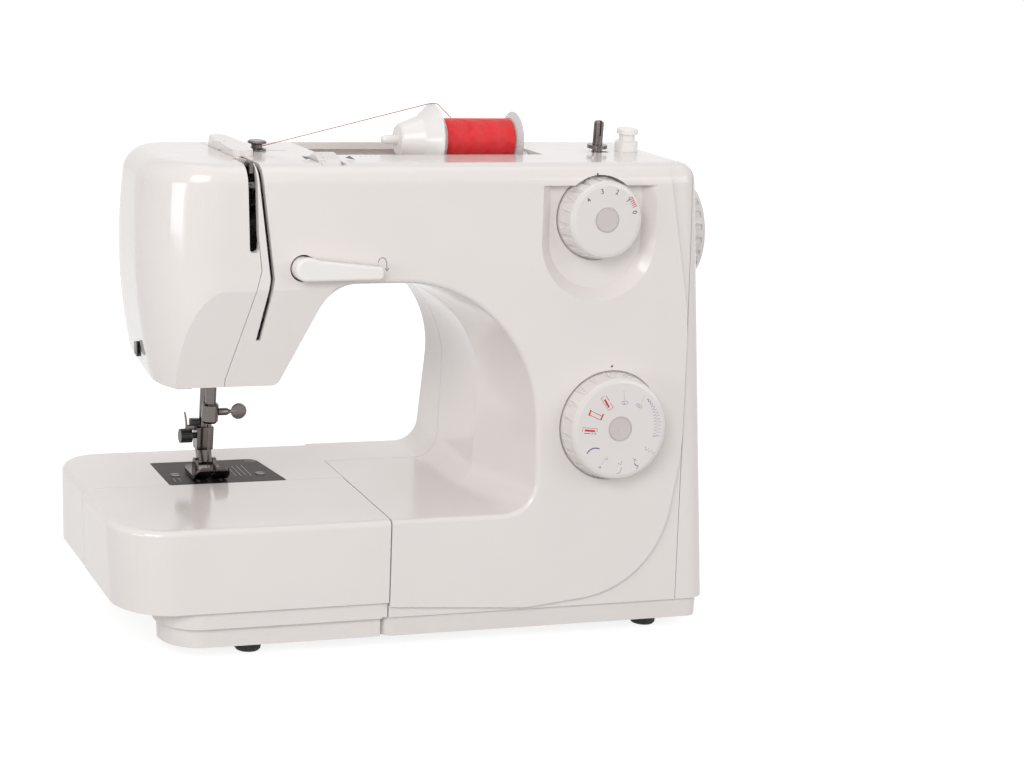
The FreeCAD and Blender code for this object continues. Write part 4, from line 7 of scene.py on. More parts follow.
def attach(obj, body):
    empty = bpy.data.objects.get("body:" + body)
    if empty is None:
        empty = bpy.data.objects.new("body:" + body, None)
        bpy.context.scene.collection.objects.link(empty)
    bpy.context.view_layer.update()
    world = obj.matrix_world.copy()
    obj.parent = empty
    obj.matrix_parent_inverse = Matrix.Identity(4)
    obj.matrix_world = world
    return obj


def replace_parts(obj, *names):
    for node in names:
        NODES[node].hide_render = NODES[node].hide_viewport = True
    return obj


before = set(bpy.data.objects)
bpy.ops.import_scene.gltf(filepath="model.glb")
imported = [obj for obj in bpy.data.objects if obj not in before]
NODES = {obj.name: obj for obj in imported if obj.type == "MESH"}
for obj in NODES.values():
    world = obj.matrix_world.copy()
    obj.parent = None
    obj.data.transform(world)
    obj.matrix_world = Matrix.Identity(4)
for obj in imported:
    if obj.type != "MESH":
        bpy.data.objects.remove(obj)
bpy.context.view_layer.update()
scene = bpy.context.scene
MM = 0.001


def mm(x, y, z):
    """A place given in mm, in metres."""
    return Vector((x * MM, y * MM, z * MM))


def put(name, data):
    """A new object of the scene that holds this data."""
    obj = bpy.data.objects.new(name, data)
    scene.collection.objects.link(obj)
    return obj


# Camera: placed from the photograph, in the part's own frame
PHOTO_WIDE, SENSOR_WIDE = 1024, 36
FOCAL_PX, CENTRE_PX = 2653.5, 385.0
NEAREST, FARTHEST = 0.05, 30
YAW, RISE, ROLL = math.radians(-20.72), math.radians(14.52), math.radians(3.5)
CAM_POS = mm(-545.6, -1429.3, 531.4)
BACK = Vector((math.sin(YAW) * math.cos(RISE), -math.cos(YAW) * math.cos(RISE), math.sin(RISE)))
SIDE = Vector((math.cos(YAW), math.sin(YAW), 0))
LIFT = BACK.cross(SIDE)
RIGHT = SIDE * math.cos(ROLL) + LIFT * math.sin(ROLL)
UP = LIFT * math.cos(ROLL) - SIDE * math.sin(ROLL)


def make_camera():
    data = bpy.data.cameras.new("camera")
    data.sensor_width = SENSOR_WIDE
    data.lens = FOCAL_PX / PHOTO_WIDE * SENSOR_WIDE
    data.shift_x = (PHOTO_WIDE / 2 - CENTRE_PX) / PHOTO_WIDE
    data.clip_start, data.clip_end = NEAREST, FARTHEST
    cam = put("camera", data)
    turn = Matrix((RIGHT, UP, BACK)).transposed().to_4x4()
    cam.matrix_world = Matrix.Translation(CAM_POS) @ turn
    scene.camera = cam


make_camera()


# Ways of working on a piece
MERGE_AT = 0.000001
SPIN_MERGE_AT = 0.000005


def pick(*pieces):
    """Select only these pieces; the first one is active."""
    bpy.ops.object.select_all(action="DESELECT")
    for piece in pieces:
        piece.select_set(True)
    bpy.context.view_layer.objects.active = pieces[0]


def settle():
    """Move the active piece's place, turn and scale into its mesh."""
    bpy.ops.object.transform_apply(location=True, rotation=True, scale=True)


def smooth(degrees):
    """Shade the active piece smooth, apart from edges sharper than this."""
    bpy.ops.object.shade_smooth_by_angle(angle=math.radians(degrees))


def soften(obj, width, segments):
    """Round the edges of the active piece by a width in mm."""
    soft = obj.modifiers.new("soft", "BEVEL")
    soft.width = width * MM
    soft.segments = segments
    bpy.ops.object.modifier_apply(modifier=soft.name)


def open_all():
    """Edit the active piece, with all of it selected."""
    bpy.ops.object.mode_set(mode="EDIT")
    bpy.ops.mesh.select_all(action="SELECT")


def close():
    bpy.ops.object.mode_set(mode="OBJECT")


def take(name, mat, body):
    """Name the active piece, settle its place in its mesh, dress it and let it ride a body."""
    obj = bpy.context.active_object
    obj.name = name
    obj.data.name = name
    pick(obj)
    settle()
    obj.data.materials.clear()
    obj.data.materials.append(mat)
    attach(obj, body)
    return obj


def new_curve(name, depth, resolution):
    """An empty curve in space with a round section and closed ends."""
    curve = bpy.data.curves.new(name, "CURVE")
    curve.dimensions = "3D"
    curve.bevel_depth = depth
    curve.bevel_resolution = resolution
    curve.use_fill_caps = True
    return curve


def add_spline(curve, kind, places, radius=1.0):
    """A spline through these places, where the radius is a share of the curve's depth."""
    spline = curve.splines.new(kind)
    spline.points.add(len(places) - 1)
    for slot, place in zip(spline.points, places):
        slot.co = (*place, 1)
        slot.radius = radius
    return spline


def as_mesh(obj):
    """Turn a curve or a text into a mesh piece, which is then active."""
    pick(obj)
    bpy.ops.object.convert(target="MESH")
    return bpy.context.active_object


# Thread from the spool over the cap rim to the guide stud
THREAD_R, BEND_REACH = 0.25, 3
ROUTE = [(29.5, 9, 295.5), (20.2, 9, 303.95), (16.0, 9, 303.95), (-86.45, 6, 279.4)]


def make_thread():
    """The points, not the curve, carry the thread's radius, so that its box has its true size."""
    start, over, past, end = [Vector(p) for p in ROUTE]
    before = over + (start - over).normalized() * BEND_REACH
    after = past + (end - past).normalized() * BEND_REACH
    points = [start, before, over, past, after, end]
    curve = new_curve("top_thread_cord", 1.0, 3)
    curve.resolution_u = 24
    spline = add_spline(curve, "NURBS", [mm(*p) for p in points], THREAD_R * MM)
    spline.order_u = 3
    spline.use_endpoint_u = True
    obj = put("top_thread_cord", curve)
    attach(obj, "base")
    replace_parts(obj, "top_thread")
    return obj


thread = make_thread()


# Materials
NOISE_LOW, NOISE_HIGH = 0.3, 0.7
MOULD_GRAIN, MOULD_DEPTH = 1400, 0.00005
TWIST = 900


def new_material(name, fixed=None):
    """A material with its node tree and its shader; fixed gives what is the same all over."""
    mat = bpy.data.materials.new(name)
    mat.use_nodes = True
    tree = mat.node_tree
    shader = tree.nodes["Principled BSDF"]
    for socket, value in (fixed or {}).items():
        shader.inputs[socket].default_value = value
    return mat, tree, shader


def add(tree, kind, **values):
    """A node with some of its inputs or settings given."""
    node = tree.nodes.new(kind)
    for key, value in values.items():
        if key in node.inputs:
            node.inputs[key].default_value = value
        else:
            setattr(node, key, value)
    return node


def spot(tree, scale, detail=3.0, stretch=None):
    """Noise in the object's own frame, in features per metre."""
    place = add(tree, "ShaderNodeTexCoord")
    out = place.outputs["Object"]
    if stretch:
        wide = add(tree, "ShaderNodeMapping", Scale=stretch)
        tree.links.new(out, wide.inputs["Vector"])
        out = wide.outputs["Vector"]
    noise = add(tree, "ShaderNodeTexNoise", Scale=scale, Detail=detail)
    tree.links.new(out, noise.inputs["Vector"])
    return noise.outputs["Fac"]


def coloured(tree, shader, fac, colour, change):
    """Colour that wanders a little to either side."""
    ramp = add(tree, "ShaderNodeValToRGB")
    dark, light = ramp.color_ramp.elements
    dark.position, light.position = NOISE_LOW, NOISE_HIGH
    dark.color = [c * (1 - change) for c in colour] + [1]
    light.color = [min(1, c * (1 + change)) for c in colour] + [1]
    tree.links.new(fac, ramp.inputs["Fac"])
    tree.links.new(ramp.outputs["Color"], shader.inputs["Base Color"])


def roughened(tree, shader, fac, low, high):
    """Roughness between two values."""
    span = add(tree, "ShaderNodeMapRange")
    span.inputs["From Min"].default_value = NOISE_LOW
    span.inputs["From Max"].default_value = NOISE_HIGH
    span.inputs["To Min"].default_value = low
    span.inputs["To Max"].default_value = high
    tree.links.new(fac, span.inputs["Value"])
    tree.links.new(span.outputs["Result"], shader.inputs["Roughness"])


def bumped(tree, shader, fac, strength, distance):
    bump = add(tree, "ShaderNodeBump", Strength=strength, Distance=distance)
    tree.links.new(fac, bump.inputs["Height"])
    tree.links.new(bump.outputs["Normal"], shader.inputs["Normal"])


def plastic(name, colour, rough, change=0.015, strength=0.03):
    """Moulded plastic with a very fine grain."""
    mat, tree, shader = new_material(name)
    coloured(tree, shader, spot(tree, 14), colour, change)
    roughened(tree, shader, spot(tree, 70), *rough)
    bumped(tree, shader, spot(tree, MOULD_GRAIN, 2), strength, MOULD_DEPTH)
    return mat


def metal(name, colour, rough, stretch=(1, 1, 1), grain=900, strength=0.05):
    """Metal whose grain is drawn out along the way that it was ground."""
    mat, tree, shader = new_material(name, {"Metallic": 1.0})
    coloured(tree, shader, spot(tree, 120), colour, 0.06)
    lines = spot(tree, grain, 4, stretch)
    roughened(tree, shader, lines, *rough)
    bumped(tree, shader, lines, strength, 0.00003)
    return mat


def rubber(name, colour):
    mat, tree, shader = new_material(name)
    coloured(tree, shader, spot(tree, 200), colour, 0.25)
    roughened(tree, shader, spot(tree, 500), 0.55, 0.75)
    bumped(tree, shader, spot(tree, 2500, 3), 0.25, 0.0001)
    return mat


def yarn(name, colour):
    """Spun thread: fine bands for the twist, soft sheen and a little fuzz."""
    mat, tree, shader = new_material(name, {"Sheen Weight": 0.35, "Sheen Roughness": 0.4})
    place = add(tree, "ShaderNodeTexCoord")
    wave = add(tree, "ShaderNodeTexWave", Scale=TWIST, Distortion=1.5, Detail=2.0)
    wave.bands_direction = "DIAGONAL"
    tree.links.new(place.outputs["Object"], wave.inputs["Vector"])
    coloured(tree, shader, spot(tree, 260, 5), colour, 0.1)
    roughened(tree, shader, spot(tree, 900), 0.45, 0.7)
    bumped(tree, shader, wave.outputs["Fac"], 0.25, 0.00008)
    return mat


def clear_plastic(name, colour):
    mat, tree, shader = new_material(name, {"Transmission Weight": 0.35, "IOR": 1.49})
    coloured(tree, shader, spot(tree, 40), colour, 0.02)
    roughened(tree, shader, spot(tree, 120), 0.18, 0.3)
    bumped(tree, shader, spot(tree, MOULD_GRAIN, 2), 0.04, MOULD_DEPTH)
    return mat


def glass(name, colour):
    mat, tree, shader = new_material(name, {"Transmission Weight": 0.85, "IOR": 1.5})
    coloured(tree, shader, spot(tree, 60), colour, 0.03)
    roughened(tree, shader, spot(tree, 200), 0.05, 0.15)
    return mat


def ink(name, colour):
    mat, tree, shader = new_material(name)
    coloured(tree, shader, spot(tree, 700), colour, 0.12)
    roughened(tree, shader, spot(tree, 300), 0.3, 0.45)
    return mat


CASING = plastic("casing_white", (0.80, 0.755, 0.735), (0.10, 0.17))
DIAL = plastic("dial_white", (0.76, 0.725, 0.705), (0.14, 0.22))
PURE = plastic("cap_white", (0.85, 0.825, 0.81), (0.14, 0.22))
BUTTON = plastic("dial_button", (0.60, 0.55, 0.535), (0.25, 0.35))
GREY = plastic("grey_plastic", (0.5, 0.5, 0.5), (0.3, 0.45))
BLACK = plastic("black_plastic", (0.02, 0.019, 0.018), (0.25, 0.4), change=0.2, strength=0.08)
RUBBER = rubber("black_rubber", (0.018, 0.017, 0.016))
# Painted dark reflection: the foot, needle and small fittings, and the needle plate, are given dark base
# colours. These stand in for the dark surroundings that polished steel would mirror, because the white world
# gives these metals no dark reflections.
PAINTED_DARK_STEEL = metal("bright_steel", (0.17, 0.152, 0.147), (0.10, 0.2), stretch=(1, 1, 0.05))
STEEL = metal("ground_steel", (0.45, 0.44, 0.43), (0.2, 0.38), stretch=(0.06, 1, 1))
PLATE = metal("plate_steel", (0.06, 0.05, 0.047), (0.42, 0.55), stretch=(0.03, 1, 1), grain=1500,
              strength=0.12)
ALLOY = metal("cast_alloy", (0.55, 0.55, 0.56), (0.4, 0.6), grain=700, strength=0.3)
MOTOR = plastic("motor_paint", (0.05, 0.05, 0.055), (0.3, 0.5), change=0.15, strength=0.1)
CLEAR = clear_plastic("clear_spool", (0.86, 0.84, 0.85))
RED = yarn("red_thread", (0.76, 0.03, 0.035))
PALE_RED = yarn("top_thread", (0.42, 0.12, 0.12))
GLASS = glass("lamp_glass", (0.93, 0.92, 0.86))
INK_BLACK = ink("ink_black", (0.03, 0.03, 0.035))
INK_BLUE = ink("ink_blue", (0.10, 0.09, 0.32))
INK_RED = ink("ink_red", (0.55, 0.03, 0.07))
INK_GREY = ink("ink_grey", (0.22, 0.21, 0.25))
INK_VIOLET = ink("ink_violet", (0.30, 0.22, 0.42))
INK_PALE = ink("plate_lines", (0.34, 0.31, 0.30))

LOOKS = {
    CASING: "face_cover front_cover rear_cover end_cover base_plate free_arm_floor extension_table "
            "shuttle_cover carrying_handle presser_lifter thread_guide",
    DIAL: "stitch_length_dial pattern_dial handwheel tension_dial",
    PURE: "spool_cap bobbin_stop spool_pin reverse_lever",
    GREY: "pattern_cams winder_arm",
    BLACK: "power_switch power_inlet thread_cutter thumb_screw",
    RUBBER: "base_feet extension_foot winder_tyre drive_belt",
    PAINTED_DARK_STEEL: "needle_bar presser_bar needle_clamp clamp_screw needle foot_holder presser_foot winder_spindle "
            "guide_stud take_up_lever bobbin_case bobbin plate_screws cover_screws",
    PLATE: "needle_plate feed_dog",
    STEEL: "upper_shaft motor_pulley shuttle_race shuttle_hook hook_shaft needle_link presser_spring "
           "tension_discs",
    ALLOY: "main_frame",
    MOTOR: "motor",
    CLEAR: "thread_spool",
    GLASS: "lamp",
}
for look, names in LOOKS.items():
    for name in names.split():
        mesh = NODES[name].data
        mesh.materials.clear()
        mesh.materials.append(look)
thread.data.materials.append(PALE_RED)


# Thread wound on the spool: fine turns over a sleeve of thread
SPOOL_Y, SPOOL_Z = 10.0, 282.5
WIND_FROM, WIND_TO = 24.0, 67.0
WIND_R, STRAND_R, WIND_TURNS, TURN_POINTS = 12.32, 0.22, 104, 28
SLEEVE_R, SLEEVE_WALL = 12.2, 1.0


def wind_thread():
    last = WIND_TURNS * TURN_POINTS
    places = []
    for i in range(last + 1):
        angle = 2 * math.pi * i / TURN_POINTS
        along = WIND_FROM + STRAND_R + (WIND_TO - WIND_FROM - 2 * STRAND_R) * i / last
        places.append(mm(along, SPOOL_Y + WIND_R * math.cos(angle), SPOOL_Z + WIND_R * math.sin(angle)))
    curve = new_curve("winding", STRAND_R * MM, 1)
    add_spline(curve, "POLY", places)
    strand = as_mesh(put("winding", curve))
    bpy.ops.mesh.primitive_cylinder_add(
        vertices=72, radius=SLEEVE_R * MM, depth=(WIND_TO - WIND_FROM) * MM, end_fill_type="NOTHING",
        rotation=(0, math.pi / 2, 0), location=mm((WIND_FROM + WIND_TO) / 2, SPOOL_Y, SPOOL_Z))
    sleeve = bpy.context.active_object
    wall = sleeve.modifiers.new("wall", "SOLIDIFY")
    wall.thickness = SLEEVE_WALL * MM
    wall.offset = -1
    bpy.ops.object.modifier_apply(modifier=wall.name)
    pick(strand, sleeve)
    bpy.ops.object.join()
    smooth(50)
    winding = take("thread_winding", RED, "spool")
    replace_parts(winding, "spool_thread")


wind_thread()


# Prints: flat raised ink on the leaning front face and on the dials
FRONT_Y, FRONT_Z, FRONT_LEAN = -83.0, 20.0, 0.0904
LEAN = math.hypot(1, FRONT_LEAN)
INK_HIGH = 0.06
DIGIT_BODY = 1.4


def front_place(x, z, out):
    """Frame on the front face: right, up the face, and out to the viewer, at a height out of it."""
    across = Vector((1, 0, 0))
    rise = Vector((0, FRONT_LEAN, 1)) / LEAN
    away = Vector((0, -1, FRONT_LEAN)) / LEAN
    foot = mm(x, FRONT_Y + FRONT_LEAN * (z - FRONT_Z), z) + away * out * MM
    turn = Matrix((across, rise, away)).transposed().to_4x4()
    return Matrix.Translation(foot) @ turn


def ink_lines(name, strokes, place, mat, body):
    """Printed lines: each stroke is a width and its points in mm on the face."""
    curve = new_curve(name, MM, 1)
    for width, points in strokes:
        add_spline(curve, "POLY", [mm(u, v, 0) for u, v in points], width / 2)
    obj = as_mesh(put(name, curve))
    thick = max(v.co.z for v in obj.data.vertices)
    obj.matrix_world = place @ Matrix.Diagonal((1, 1, INK_HIGH * MM / thick, 1))
    take(name, mat, body)


def digits(name, marks, high, place, mat, body):
    """Printed digits: each mark is the digit, its place in mm and its turn in degrees."""
    made = []
    for text, u, v, turn in marks:
        bpy.ops.object.text_add()
        obj = bpy.context.active_object
        obj.data.body = text
        obj.data.size = high * DIGIT_BODY * MM
        obj.data.extrude = INK_HIGH * MM
        obj.data.align_x = "CENTER"
        obj.data.align_y = "CENTER"
        obj = as_mesh(obj)
        turned_to = Matrix.Rotation(math.radians(turn), 4, "Z")
        obj.matrix_world = place @ (Matrix.Translation(mm(u, v, 0)) @ turned_to)
        settle()
        made.append(obj)
    pick(*made)
    bpy.ops.object.join()
    take(name, mat, body)


def ink_dot(name, u, v, radius, place, mat, body):
    """Printed round dot, with a softened edge."""
    bpy.ops.mesh.primitive_cylinder_add(vertices=24, radius=radius * MM, depth=2 * INK_HIGH * MM)
    obj = bpy.context.active_object
    soften(obj, INK_HIGH * 0.6, 2)
    obj.matrix_world = place @ Matrix.Translation(mm(u, v, 0))
    take(name, mat, body)


# Each dial: its middle on the front face and how far it stands out
LENGTH_DIAL = (97.5, 249.0, 10.0)
PATTERN_DIAL = (109.5, 128.0, 14.0)
length_face = front_place(*LENGTH_DIAL)
pattern_face = front_place(*PATTERN_DIAL)
LENGTH_NUMBERS = [("4", -12.2, 11.6, 46), ("3", -3.9, 16.4, 13), ("2", 5.4, 16.0, -18),
                  ("0", 16.9, 4.4, -75), ("1", 12.6, 11.4, -47)]
NUMBER_HIGH = 2.9
digits("length_dial_numbers", LENGTH_NUMBERS, NUMBER_HIGH, length_face, INK_BLACK, "length_dial")

LENGTH_RANGE = [(0.35, [(14.9, 13.4), (18.0, 8.0)])]
for i in range(6):
    u, v = 13.6 + i * 0.62, 13.0 - i * 1.08
    LENGTH_RANGE.append((0.45, [(u - 0.9, v - 0.5), (u + 0.9, v + 0.5)]))
ink_lines("length_dial_range", LENGTH_RANGE, length_face, INK_RED, "length_dial")

# The upper mark lies in the plane of the front, just off the rounded edge of the casing
ink_dot("length_dial_mark", -2.7, 25.6, 0.6, front_place(*LENGTH_DIAL[:2], 0.0), INK_BLACK, "base")
ink_dot("pattern_dial_mark", -0.5, 34.8, 0.65, front_place(*PATTERN_DIAL[:2], 0.0), INK_BLACK, "base")

BUTTONHOLES = [
    (0.35, [(-11.4, 20.0), (-13.1, 18.4), (-7.9, 11.3), (-5.2, 13.1)]),
    (0.35, [(-9.9, 20.0), (-7.9, 17.0)]),
    (0.35, [(-7.1, 15.8), (-5.2, 13.1)]),
    (1.2, [(-10.8, 17.9), (-7.8, 13.2)]),
    (0.35, [(-18.7, 11.2), (-11.4, 7.9)]),
    (0.35, [(-19.7, 9.1), (-13.1, 6.0)]),
    (0.9, [(-19.2, 12.1), (-20.3, 8.7)]),
    (0.9, [(-11.2, 9.4), (-12.8, 5.8)]),
    (0.35, [(-24.1, -0.5), (-23.7, 1.9), (-14.7, 0.9), (-14.8, -1.0)]),
    (1.2, [(-22.6, 0.2), (-16.1, -0.5)]),
    (0.45, [(-23.0, -1.5), (-19.2, -1.8)]),
    (0.45, [(-18.5, -1.9), (-17.3, -2.0)]),
    (0.45, [(-16.6, -2.1), (-15.3, -2.1)]),
]
SATIN = [
    (0.7, [(-20.7, -13.6), (-19.8, -12.4), (-18.7, -11.5), (-17.5, -10.9), (-16.2, -10.5), (-14.5, -10.6),
           (-12.8, -10.9)]),
    (0.4, [(9.0, -17.8), (11.2, -18.7), (9.6, -19.6)]),
    (0.5, [(10.0, -20.5), (10.6, -21.5), (12.6, -22.4)]),
    (0.35, [(12.6, -22.4), (11.4, -23.9)]),
]
LOOPS = [
    (0.3, [(0.1, 15.6), (0.9, 16.4), (2.1, 16.6), (3.7, 16.3), (4.5, 15.6), (3.5, 14.8), (2.0, 14.5),
           (0.7, 14.9), (0.1, 15.6)]),
    (0.3, [(1.6, 16.2), (2.1, 14.6)]),
    (0.3, [(9.5, 14.6), (10.5, 14.9), (13.2, 13.2), (13.0, 12.1), (11.7, 12.3), (9.3, 14.0), (9.5, 14.6)]),
    (0.3, [(10.8, 14.0), (11.6, 13.0)]),
]
for i in range(5):
    LOOPS.append((0.25, [(2.0 - 0.18 * i, 17.2 + 1.15 * i), (1.9 - 0.18 * i, 17.8 + 1.15 * i)]))
    LOOPS.append((0.25, [(12.8 + 0.37 * i, 14.9 + 1.04 * i), (13.0 + 0.37 * i, 15.4 + 1.04 * i)]))
CHAINS = [
    (0.3, [(-9.5, -17.0), (-7.2, -17.9), (-8.0, -16.0)]),
    (0.3, [(-13.4, -21.5), (-11.2, -22.4)]),
    (0.3, [(-12.1, -23.0), (-11.6, -21.1)]),
    (0.25, [(-10.9, -20.3), (-10.4, -19.8)]),
    (0.25, [(-10.0, -19.2), (-9.5, -18.7)]),
    (0.3, [(-0.5, -20.0), (1.4, -21.1), (1.9, -19.0)]),
    (0.3, [(1.9, -22.6), (1.5, -24.1), (1.0, -25.5), (-1.2, -26.4)]),
    (0.3, [(16.7, -10.9), (17.1, -13.2), (18.9, -12.2), (19.2, -14.4), (21.0, -13.3), (21.3, -15.8),
           (22.6, -14.5)]),
]
ZIGZAG_R, ZIGZAG_FROM, ZIGZAG_SWEEP = 23.9, 47, 60
ZIGZAG_POINTS, ZIGZAG_WIDENS = 27, 18
ZIGZAG_LEAST, ZIGZAG_MORE = 0.3, 2.1


def zigzag():
    """Zigzag that widens round the right side of the pattern dial."""
    points = []
    for i in range(ZIGZAG_POINTS):
        angle = math.radians(ZIGZAG_FROM - ZIGZAG_SWEEP * i / (ZIGZAG_POINTS - 1))
        reach = (ZIGZAG_LEAST + ZIGZAG_MORE * min(1, i / ZIGZAG_WIDENS)) * (1 if i % 2 else -1)
        points.append(((ZIGZAG_R + reach) * math.cos(angle), (ZIGZAG_R + reach) * math.sin(angle)))
    return [(0.45, points)]


ink_lines("pattern_dial_buttonholes", BUTTONHOLES, pattern_face, INK_RED, "pattern")
ink_lines("pattern_dial_satin", SATIN + zigzag(), pattern_face, INK_BLUE, "pattern")
ink_lines("pattern_dial_loops", LOOPS, pattern_face, INK_VIOLET, "pattern")
ink_lines("pattern_dial_chains", CHAINS, pattern_face, INK_GREY, "pattern")

BUTTON_R, BUTTON_DEPTH = 7.1, 1.5


def dress_button(node, place):
    """Give the round middle of a dial its own finish."""
    obj = NODES[node]
    obj.data.materials.append(BUTTON)
    back = place.inverted()
    for face in obj.data.polygons:
        at = back @ face.center
        if math.hypot(at.x, at.y) < BUTTON_R * MM and at.z > -BUTTON_DEPTH * MM:
            face.material_index = 1


dress_button("stitch_length_dial", length_face)
dress_button("pattern_dial", pattern_face)


# Head: copies of the two covers, drawn out to the bulging barrel of the needle end
HEAD_LOW_Z = 140
BACK_Y, BACK_LEAN = 89.8, 0.138
FACE_INSIDE = 0.01
HEAD_SKEW = math.tan(math.radians(5.0))
SKEW_LONG = math.hypot(1, HEAD_SKEW)
FLAT_X, FLAT_MID_Z, FLAT_LEAN = -161.0, 225, math.tan(math.radians(3.5))
FLAT_HEAD = dict(front=28.0, back=24.0)
BARREL_R, BARREL_MID_Z, BARREL_X = 350.0, 243.0, -166.0
BARREL_HEAD = dict(front=41.0, back=36.0)
SEAM_FOOT_X, SEAM_FOOT_Z = -121.0, 158
SEAM_KNEE_X, SEAM_KNEE_Z = -106.0, 222
SEAM_LEAN = 0.1204
SLOT_KEEP, SLOT_FROM_Z, SLOT_FADE = 10.0, 196, 30


def seam_x(z):
    """Seam of the face cover at a height."""
    if z < SEAM_FOOT_Z:
        return SEAM_FOOT_X
    if z < SEAM_KNEE_Z:
        return SEAM_FOOT_X + (z - SEAM_FOOT_Z) * (SEAM_KNEE_X - SEAM_FOOT_X) / (SEAM_KNEE_Z - SEAM_FOOT_Z)
    return SEAM_KNEE_X - (z - SEAM_KNEE_Z) * SEAM_LEAN


def head_side(y, z, left, front, back):
    """Needle end of the head at a depth and height, with its rounded front and back corners."""
    near = FRONT_Y + FRONT_LEAN * (z - FRONT_Z)
    far = BACK_Y - BACK_LEAN * (z - FRONT_Z)
    y = min(max(y, near + FACE_INSIDE), far - FACE_INSIDE)
    for radius, mid, way in ((front, near + front, -1), (back, far - back, 1)):
        foot = mid + radius * HEAD_SKEW / SKEW_LONG
        if way * (y - foot) > 0:
            bow = math.sqrt(max(0, radius ** 2 - (y - mid) ** 2))
            return left + HEAD_SKEW * mid + SKEW_LONG * radius - bow
    return left + HEAD_SKEW * y


def barrel_point(at):
    """Where a point of the covers goes on the bulging head; the slot beside the seam keeps its width."""
    x, y, z = at / MM
    held = seam_x(z) - SLOT_KEEP * min(max((z - SLOT_FROM_Z) / SLOT_FADE, 0), 1)
    if x > held or z < HEAD_LOW_Z:
        return at
    flat_side = head_side(y, z, FLAT_X - FLAT_LEAN * (z - FLAT_MID_Z), **FLAT_HEAD)
    rise = BARREL_R - math.sqrt(BARREL_R ** 2 - (z - BARREL_MID_Z) ** 2)
    round_side = head_side(y, z, BARREL_X + rise, **BARREL_HEAD)
    return mm(held + (x - held) * (held - round_side) / (held - flat_side), y, z)


def reshaped(node, name, cuts, move, body, mat):
    """A copy of a CAD piece, cut finer and drawn to a fuller form, in the place of that piece."""
    obj = put(name, NODES[node].data.copy())
    pick(obj)
    open_all()
    bpy.ops.mesh.remove_doubles(threshold=MERGE_AT)
    for foot, normal in cuts:
        bpy.ops.mesh.select_all(action="SELECT")
        bpy.ops.mesh.bisect(plane_co=mm(*foot), plane_no=normal)
    bpy.ops.mesh.select_all(action="SELECT")
    bpy.ops.mesh.quads_convert_to_tris()
    close()
    for vertex in obj.data.vertices:
        vertex.co = move(vertex.co)
    bpy.ops.mesh.customdata_custom_splitnormals_clear()
    smooth(28)
    weights = obj.modifiers.new("even_faces", "WEIGHTED_NORMAL")
    weights.keep_sharp = True
    bpy.ops.object.modifier_apply(modifier=weights.name)
    take(name, mat, body)
    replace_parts(obj, node)


def slices(axis, start, stop, step):
    """Evenly spaced cutting planes across one axis, in mm."""
    count = int(round((stop - start) / step)) + 1
    normal = tuple(1 if k == axis else 0 for k in range(3))
    return [(tuple((start + i * step) * n for n in normal), normal) for i in range(count)]


HEAD_CUTS = slices(2, 150, 282, 6) + slices(1, -72, 72, 6) + slices(0, -162, -106, 8)
reshaped("face_cover", "head_cover", HEAD_CUTS, barrel_point, "base", CASING)
reshaped("rear_cover", "back_cover", HEAD_CUTS, barrel_point, "base", CASING)


# Table: its skirt stops short of the left end and turns away behind
SKIRT_TOP_Z, SKIRT_LEFT_X, SKIRT_FIXED_X = 28.6, -182.0, -40.0
SKIRT_SHIFT, SKIRT_TURN_Y, SKIRT_TURN_R = 18.0, -42.0, 14.0


def tuck_point(at):
    """Where a point of the table's skirt goes."""
    x, y, z = at / MM
    if z > SKIRT_TOP_Z or x > SKIRT_FIXED_X:
        return at
    turn = y - SKIRT_TURN_Y
    shift = SKIRT_SHIFT + (turn + math.hypot(turn, SKIRT_TURN_R)) / 2
    share = (SKIRT_FIXED_X - x) / (SKIRT_FIXED_X - SKIRT_LEFT_X)
    return mm(x + shift * share, y, z)


SKIRT_CUTS = slices(2, 28.5, 30.5, 2) + slices(1, -80, 4, 4) + slices(0, -176, -40, 8)
reshaped("extension_table", "table_shell", SKIRT_CUTS, tuck_point, "table", CASING)


# Sewing foot with toes that curl up, and the small fittings beside it
TOE_FRONT_Y, TOE_START_Y, TOE_CURL = 8.5, 17.5, 0.052


def curl_point(at):
    """Where a point of the sewing foot goes."""
    x, y, z = at / MM
    reach = max(0.0, TOE_START_Y - y)
    return mm(x, y, z + TOE_CURL * reach ** 2)


TOE_CUTS = slices(1, TOE_FRONT_Y, TOE_START_Y, 1)
reshaped("presser_foot", "curled_foot", TOE_CUTS, curl_point, "presser_set", PAINTED_DARK_STEEL)


TURN_STEPS, ROUND_STEPS = 40, 3


def turned(profile, centre):
    """Piece turned about a line along X: the profile is a list of places along it and radii."""
    mesh = bpy.data.meshes.new("turned")
    corners = [mm(x, centre[0] + r, centre[1]) for x, r in profile]
    mesh.from_pydata(corners, [(i, i + 1) for i in range(len(corners) - 1)], [])
    obj = put("turned", mesh)
    pick(obj)
    open_all()
    bpy.ops.mesh.spin(steps=TURN_STEPS, angle=2 * math.pi, center=mm(0, *centre), axis=(1, 0, 0))
    bpy.ops.mesh.select_all(action="SELECT")
    bpy.ops.mesh.remove_doubles(threshold=SPIN_MERGE_AT)
    bpy.ops.mesh.normals_make_consistent(inside=False)
    close()
    smooth(35)
    return obj


def block(low, high, round_by):
    """Rounded block between two corners, in mm."""
    size = [(b - a) * MM for a, b in zip(low, high)]
    bpy.ops.mesh.primitive_cube_add(size=1, location=mm(*[(a + b) / 2 for a, b in zip(low, high)]))
    obj = bpy.context.active_object
    obj.scale = size
    settle()
    soften(obj, round_by, ROUND_STEPS)
    smooth(35)
    return obj


CLAMP_SCREW_Y, CLAMP_SCREW_Z = 22.0, 117.5
PADDLE_X, PADDLE_R, PADDLE_THICK, PADDLE_ROUND = -88.4, 4.8, 1.8, 0.5
SCREW_PROFILE = [(-104.0, 0), (-104.0, 1.6), (-100.9, 1.6), (-100.9, 2.2), (-95.8, 2.2), (-95.0, 1.8),
                 (-93.6, 1.0), (PADDLE_X, 1.0), (PADDLE_X, 0)]


